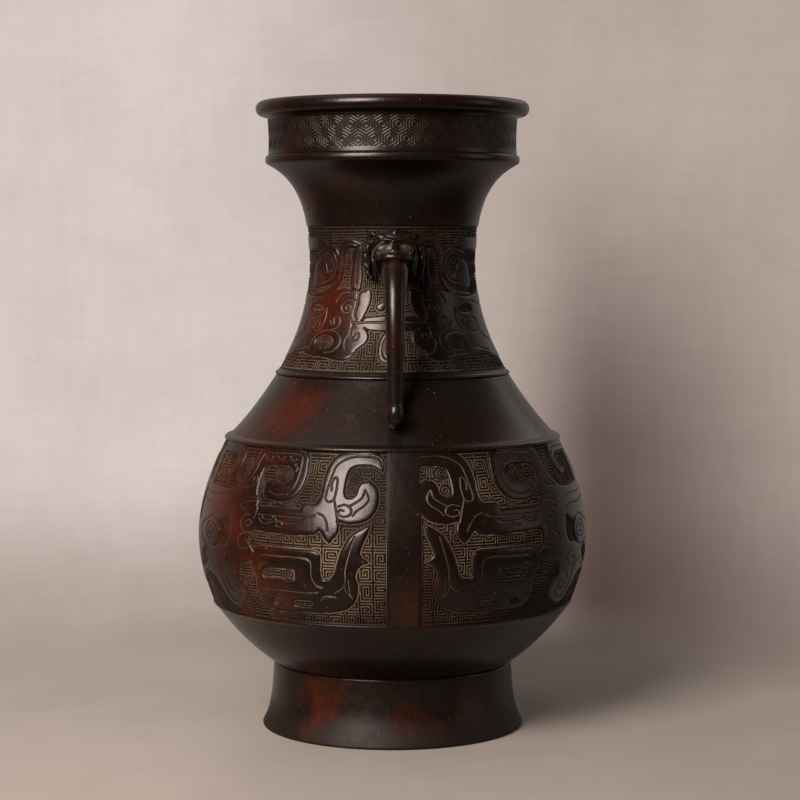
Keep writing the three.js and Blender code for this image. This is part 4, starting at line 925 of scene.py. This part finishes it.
# Colour, shine and grain of old bronze
def bronzeGroup():
    group = bpy.data.node_groups.new("agedBronze", "ShaderNodeTree")
    sockets = [("Place", "INPUT", "Vector")]
    sockets += [(name, "INPUT", "Float") for name in ("Dust", "Sunk", "Redness", "Greenness", "Dustiness")]
    sockets += [("Color", "OUTPUT", "Color")]
    sockets += [(name, "OUTPUT", "Float") for name in ("Roughness", "Height", "Gleam")]
    for name, way, kind in sockets:
        group.interface.new_socket(name, in_out=way, socket_type="NodeSocket" + kind)
    place, dustAndSheenHeld, sunk, redness, greenness, dustAndSheenStrength = group.nodes.new("NodeGroupInput").outputs[:6]
    broad = noise(place, 21, 4, 0.6, 0.4)
    patches = noise(place, 55, 5, 0.62, 0.6)
    streaks = noise(place, 170, 5, 0.7, 0.8)
    cloud = plus(times(broad, 0.4), times(patches, 0.38), times(streaks, 0.22))
    redShare = stepped(plus(cloud, times(redness, 0.24)), 0.5, 0.76)
    greenCloud = noise(vectorCalc("ADD", place, (3.1, 1.7, 0.4))[0], 26, 4, 0.6, 0.5)
    greenShare = stepped(plus(greenCloud, times(greenness, 0.3)), 0.52, 0.75)
    color = mixed(redShare, patina["brown"], patina["red"])
    color = mixed(times(greenShare, 0.85), color, patina["green"])
    mottle = stepped(noise(place, 240, 4, 0.7), 0.35, 0.7)
    color = mixed(times(mottle, 0.18), color, patina["worn"])
    speck = stepped(noise(vectorCalc("ADD", place, (0.3, 0.9, 0.2))[0], 520, 2, 0.5), 0.7, 0.78)
    color = mixed(times(speck, 0.5), color, patina["paleSpeck"])
    color = mixed(times(sunk, 0.35), color, patina["brown"])
    uneven = stepped(noise(place, 130, 4, 0.65), 0.3, 0.62, 0.45, 1)
    # Pale beige where the dust mask is high: dust in hollows and eyes, and painted highlight on ridge tops,
    # incised lines and outlines
    broadDustAndSheen = stepped(noise(vectorCalc("ADD", place, (1.2, 0.4, 2.2))[0], 16, 3), 0.38, 0.6, 0.3, 1)
    dust = times(stepped(dustAndSheenHeld, 0.5, 1.0), uneven, dustAndSheenStrength, broadDustAndSheen)
    color = mixed(dust, color, patina["dust"])
    up = addNode(group, "ShaderNodeSeparateXYZ", {0: place})["Z"]
    scuffed = stepped(up, 20 * mm, 5 * mm, 0, 0.3)
    plain = plus(patina["roughness"], times(mottle, 0.05), times(sunk, 0.22), scuffed)
    inputs = {0: dust, 2: plain, 3: patina["dustAndSheenRoughness"]}
    rough = addNode(group, "ShaderNodeMix", inputs, data_type="FLOAT")[0]
    gleam = stepped(up, 72 * mm, 50 * mm, patina["gleam"], patina["footGleam"])
    gleam = calc("SUBTRACT", gleam, times(sunk, 0.36))
    height = plus(times(mottle, 0.15), times(noise(place, 700, 3), 0.25), times(patches, 1.2))
    ends = {"Color": color, "Roughness": rough, "Height": height, "Gleam": gleam}
    addNode(group, "NodeGroupOutput", ends)
    return group


agedBronze = bronzeGroup()


def bronzeMaterial(name, redPlaces, greenPlaces, dustAndSheenPlaces):
    material = bpy.data.materials.new(name)
    tree = emptyTree(material)
    place = addNode(tree, "ShaderNodeTexCoord")["Object"]
    dust, sunk = [addNode(tree, "ShaderNodeAttribute", attribute_name=held)["Fac"]
                  for held in ("dust", "sunk")]
    bronze = addNode(tree, "ShaderNodeGroup", {
        "Place": place, "Dust": dust, "Sunk": sunk, "Redness": patchSum(place, redPlaces, 0),
        "Greenness": patchSum(place, greenPlaces, 0), "Dustiness": patchSum(place, dustAndSheenPlaces, 0.36),
    }, node_tree=agedBronze)
    bump = addNode(tree, "ShaderNodeBump", {"Height": bronze["Height"], "Strength": 0.25, "Distance": 0.0004})
    surface = addNode(tree, "ShaderNodeBsdfPrincipled", {
        "Base Color": bronze["Color"], "Roughness": bronze["Roughness"], "Normal": bump[0],
        "IOR": 1.34, "Specular IOR Level": bronze["Gleam"],
    })
    addNode(tree, "ShaderNodeOutputMaterial", {"Surface": surface[0]})
    return material


def solderMaterial():
    material = bpy.data.materials.new("greySolder")
    tree = emptyTree(material)
    grain = noise(addNode(tree, "ShaderNodeTexCoord")["Object"], 400)
    color = mixed(grain, (0.03, 0.028, 0.025, 1), (0.06, 0.057, 0.052, 1))
    inputs = {"Base Color": color, "Metallic": 0.8, "Roughness": 0.55}
    surface = addNode(tree, "ShaderNodeBsdfPrincipled", inputs)
    addNode(tree, "ShaderNodeOutputMaterial", {"Surface": surface[0]})
    return material


# Patches seen in the photo: middle, reach and strength, millimetres
redSpots = [
    ((-60, -60, 172), 45, 0.9), ((-88, -40, 130), 45, 0.8), ((6, -100, 84), 30, 0.28),
    ((-70, -70, 90), 45, 0.6), ((-36, -30, 220), 38, 0.9), ((-40, -60, 22), 34, 0.7),
    ((20, -62, 12), 30, 0.2), ((10, -70, 200), 24, 0.4),
]
greenSpots = [
    ((45, -60, 180), 50, 0.9), ((25, -45, 215), 36, 1.0), ((0, -95, 140), 36, 0.9),
    ((60, -80, 110), 50, 0.5), ((20, -55, 285), 46, 0.8), ((25, -65, 25), 34, 0.5),
]
# Strength of the pale dust and painted highlight, strongest on the lit front left
dustAndSheenSpots = [
    ((-28, -98, 115), 55, 0.85), ((38, -92, 115), 50, 0.45), ((-12, -50, 225), 35, 0.5),
    ((0, -66, 311), 34, 0.3),
]
handleRed = [((-3, -80, 215), 22, 0.08)]
handleGreen = [((0, -86, 180), 30, 0.9), ((0, -56, 260), 16, 1.4), ((8, -56, 244), 20, 1.1)]
handleDustAndSheen = [((0, -58, 252), 24, 0.5)]
bodyBronze = bronzeMaterial("bodyBronze", redSpots, greenSpots, dustAndSheenSpots)
handleBronze = bronzeMaterial("handleBronze", handleRed, handleGreen, handleDustAndSheen)
greySolder = solderMaterial()
for thing in bpy.data.objects:
    if thing.type == "MESH":
        isHandle = any(word in thing.name for word in ("mask", "trunk", "plate"))
        chosen = greySolder if "solder" in thing.name else handleBronze if isHandle else bodyBronze
        thing.data.materials.clear()
        thing.data.materials.append(chosen)
print("materials made")

# Stage: paper under the jar, fading out into the wall behind it
# The darker right tone of the paper is painted shade, and the haze colour is a painted glow
paper = {
    "radius": 0.6, "fadeFrom": 0.2, "fadeTo": 0.45, "left": (0.302, 0.291, 0.267, 1),
    "right": (0.244, 0.232, 0.213, 1), "stain": (0.1, 0.08, 0.065, 1), "paintedGlow": (0.045, 0.036, 0.031, 1),
}
bm = bmesh.new()
bmesh.ops.create_circle(bm, cap_ends=True, segments=96, radius=paper["radius"],
                        matrix=Matrix.Translation((0, 0, -0.0002)))
floor = addObject("floor", meshFrom(bm, "floor"))
floorMaterial = bpy.data.materials.new("floorPaper")
tree = emptyTree(floorMaterial)
place = addNode(tree, "ShaderNodeTexCoord")["Object"]
sideways = addNode(tree, "ShaderNodeSeparateXYZ", {0: place})["X"]
# Painted shade: the paper is darker to the right of the jar
tone = mixed(stepped(sideways, -0.12, -0.03), paper["left"], paper["right"])
tone = mixed(stepped(noise(place, 9, 5, 0.6), 0.35, 0.65, 0, 0.12), tone, paper["stain"])
surface = addNode(tree, "ShaderNodeBsdfDiffuse", {"Color": tone})
# Painted glow: the paper gives off a little light to camera and shiny rays, which lightens its shadow
rays = addNode(tree, "ShaderNodeLightPath")
looked = calc("MAXIMUM", rays["Is Camera Ray"], rays["Is Glossy Ray"])
looked = calc("MAXIMUM", looked, rays["Is Transmission Ray"])
paintedGlow = addNode(tree, "ShaderNodeEmission", {"Color": paper["paintedGlow"], "Strength": looked})
lit = addNode(tree, "ShaderNodeAddShader", {0: surface[0], 1: paintedGlow[0]})
away = addNode(tree, "ShaderNodeVectorMath", {0: place}, operation="LENGTH")["Value"]
fade = stepped(away, paper["fadeFrom"], paper["fadeTo"])
clear = addNode(tree, "ShaderNodeBsdfTransparent")
join = addNode(tree, "ShaderNodeMixShader", {0: fade, 1: lit[0], 2: clear[0]})
addNode(tree, "ShaderNodeOutputMaterial", {"Surface": join[0]})
floor.data.materials.append(floorMaterial)

# World: the camera sees a warm grey wall with the jar's soft shadow painted on it, other rays mostly a dim
# room.
# The wall repeats every quarter turn, so that the sides and the back have it too.
heading = math.radians(-1.2)
wall = {
    "light": (0.665, 0.578, 0.527), "warmth": (1, 1.15, 1.19), "rightShare": 0.69, "shadow": 0.74,
    "lowShade": 0.33, "threads": ((420, 420, 26), (34, 34, 480)),
}
window = {"direction": (-0.3, 0.1, 0.95), "color": (0.9, 0.78, 0.72, 1), "dim": 0.05, "bright": 1.1}
world = bpy.data.worlds.new("room")
bpy.context.scene.world = world
tree = emptyTree(world)
direction = addNode(tree, "ShaderNodeTexCoord")["Generated"]
turned = addNode(tree, "ShaderNodeVectorRotate", {"Vector": direction, "Angle": -heading},
                 rotation_type="Z_AXIS")[0]
parts = addNode(tree, "ShaderNodeSeparateXYZ", {0: turned})
level = calc("SQRT", plus(times(parts["X"], parts["X"]), times(parts["Y"], parts["Y"])))
rise = calc("DIVIDE", parts["Z"], calc("MAXIMUM", level, 0.001))
aside = calc("WRAP", calc("ARCTAN2", parts["X"], parts["Y"]), math.pi / 4, -math.pi / 4)
# Painted shade on the wall: darker to the right of the jar, the jar's painted soft shadow, and painted shade
# low down
darker = calc("SUBTRACT", stepped(aside, -0.11, 0.07), stepped(aside, 0.25, 0.72))
bright = calc("SUBTRACT", 1.0, times(darker, 1 - wall["rightShare"]))
shadow = times(stepped(aside, 0.036, 0.095), stepped(aside, 0.228, 0.078), stepped(rise, 0.063, -0.108),
               stepped(rise, -0.5, -0.25, 0, wall["shadow"]))
bright = times(bright, calc("SUBTRACT", 1.0, shadow))
bright = times(bright, calc("SUBTRACT", 1.0, stepped(rise, -0.1, -0.165, 0, wall["lowShade"])))
bright = times(bright, stepped(noise(direction, 16, 5, 0.62, 0.3), 0.3, 0.7, 0.955, 1.045))
for threads in wall["threads"]:
    stretched = vectorCalc("MULTIPLY", direction, threads)[0]
    bright = times(bright, stepped(noise(stretched, 1, 3), 0.3, 0.7, 0.988, 1.012))
# Powers per channel make the painted shade warmer
shades = [times(calc("POWER", bright, power), part) for power, part in zip(wall["warmth"], wall["light"])]
tone = addNode(tree, "ShaderNodeCombineXYZ", dict(enumerate(shades)))[0]
backdrop = addNode(tree, "ShaderNodeBackground", {"Color": tone, "Strength": 1.0})
toWindow = vectorCalc("DOT_PRODUCT", turned, window["direction"])["Value"]
ceiling = stepped(toWindow, 0.86, 0.99, window["dim"], window["bright"])
room = addNode(tree, "ShaderNodeBackground", {"Color": window["color"], "Strength": ceiling})
rays = addNode(tree, "ShaderNodeLightPath")
shiny = plus(rays["Is Glossy Ray"], rays["Is Transmission Ray"])
shiny = times(shiny, stepped(parts["Y"], 0, 0.8, 0, 0.6))
seen = calc("MAXIMUM", rays["Is Camera Ray"], shiny)
join = addNode(tree, "ShaderNodeMixShader", {0: seen, 1: room[0], 2: backdrop[0]})
addNode(tree, "ShaderNodeOutputWorld", {"Surface": join[0]})


# A lamp turned towards the middle of the jar. Azimuth 0 is the front, and size is width and height.
lampAim = Vector((0, 0, 0.17))


def softLight(name, azimuth, elevation, distance, size, power, color):
    data = bpy.data.lights.new(name, "AREA")
    data.shape, data.size, data.size_y = "RECTANGLE", *size
    data.energy, data.color = power, color
    light = addObject(name, data)
    a, e = math.radians(azimuth), math.radians(elevation)
    away = Vector((math.sin(a) * math.cos(e), -math.cos(a) * math.cos(e), math.sin(e)))
    light.location = lampAim + distance * away
    light.rotation_euler = (lampAim - light.location).to_track_quat("-Z", "Y").to_euler()


softLight("key", -32, 28, 1.9, (0.8, 1.15), 86, (1, 0.83, 0.76))
softLight("fill", 80, 12, 2.2, (0.9, 1.4), 4, (1, 0.86, 0.8))
softLight("back", 140, 35, 2.2, (1, 1), 2, (1, 0.93, 0.88))

# Camera, found from the ellipses of lip, rib and foot
view = {"lens": 99.9, "sensor": 36, "distance": 1.1766, "aside": 0.00396, "height": 0.2578, "down": 4.136}
camera = addObject("camera", bpy.data.cameras.new("camera"))
camera.data.lens, camera.data.sensor_width = view["lens"], view["sensor"]
camera.location = (view["distance"] * math.sin(heading) + view["aside"] * math.cos(heading),
                   -view["distance"] * math.cos(heading) + view["aside"] * math.sin(heading),
                   view["height"])
camera.rotation_euler = (math.radians(90 - view["down"]), 0, heading)
bpy.context.scene.camera = camera
bpy.context.scene.view_settings.view_transform = "Standard"
print("stage set")
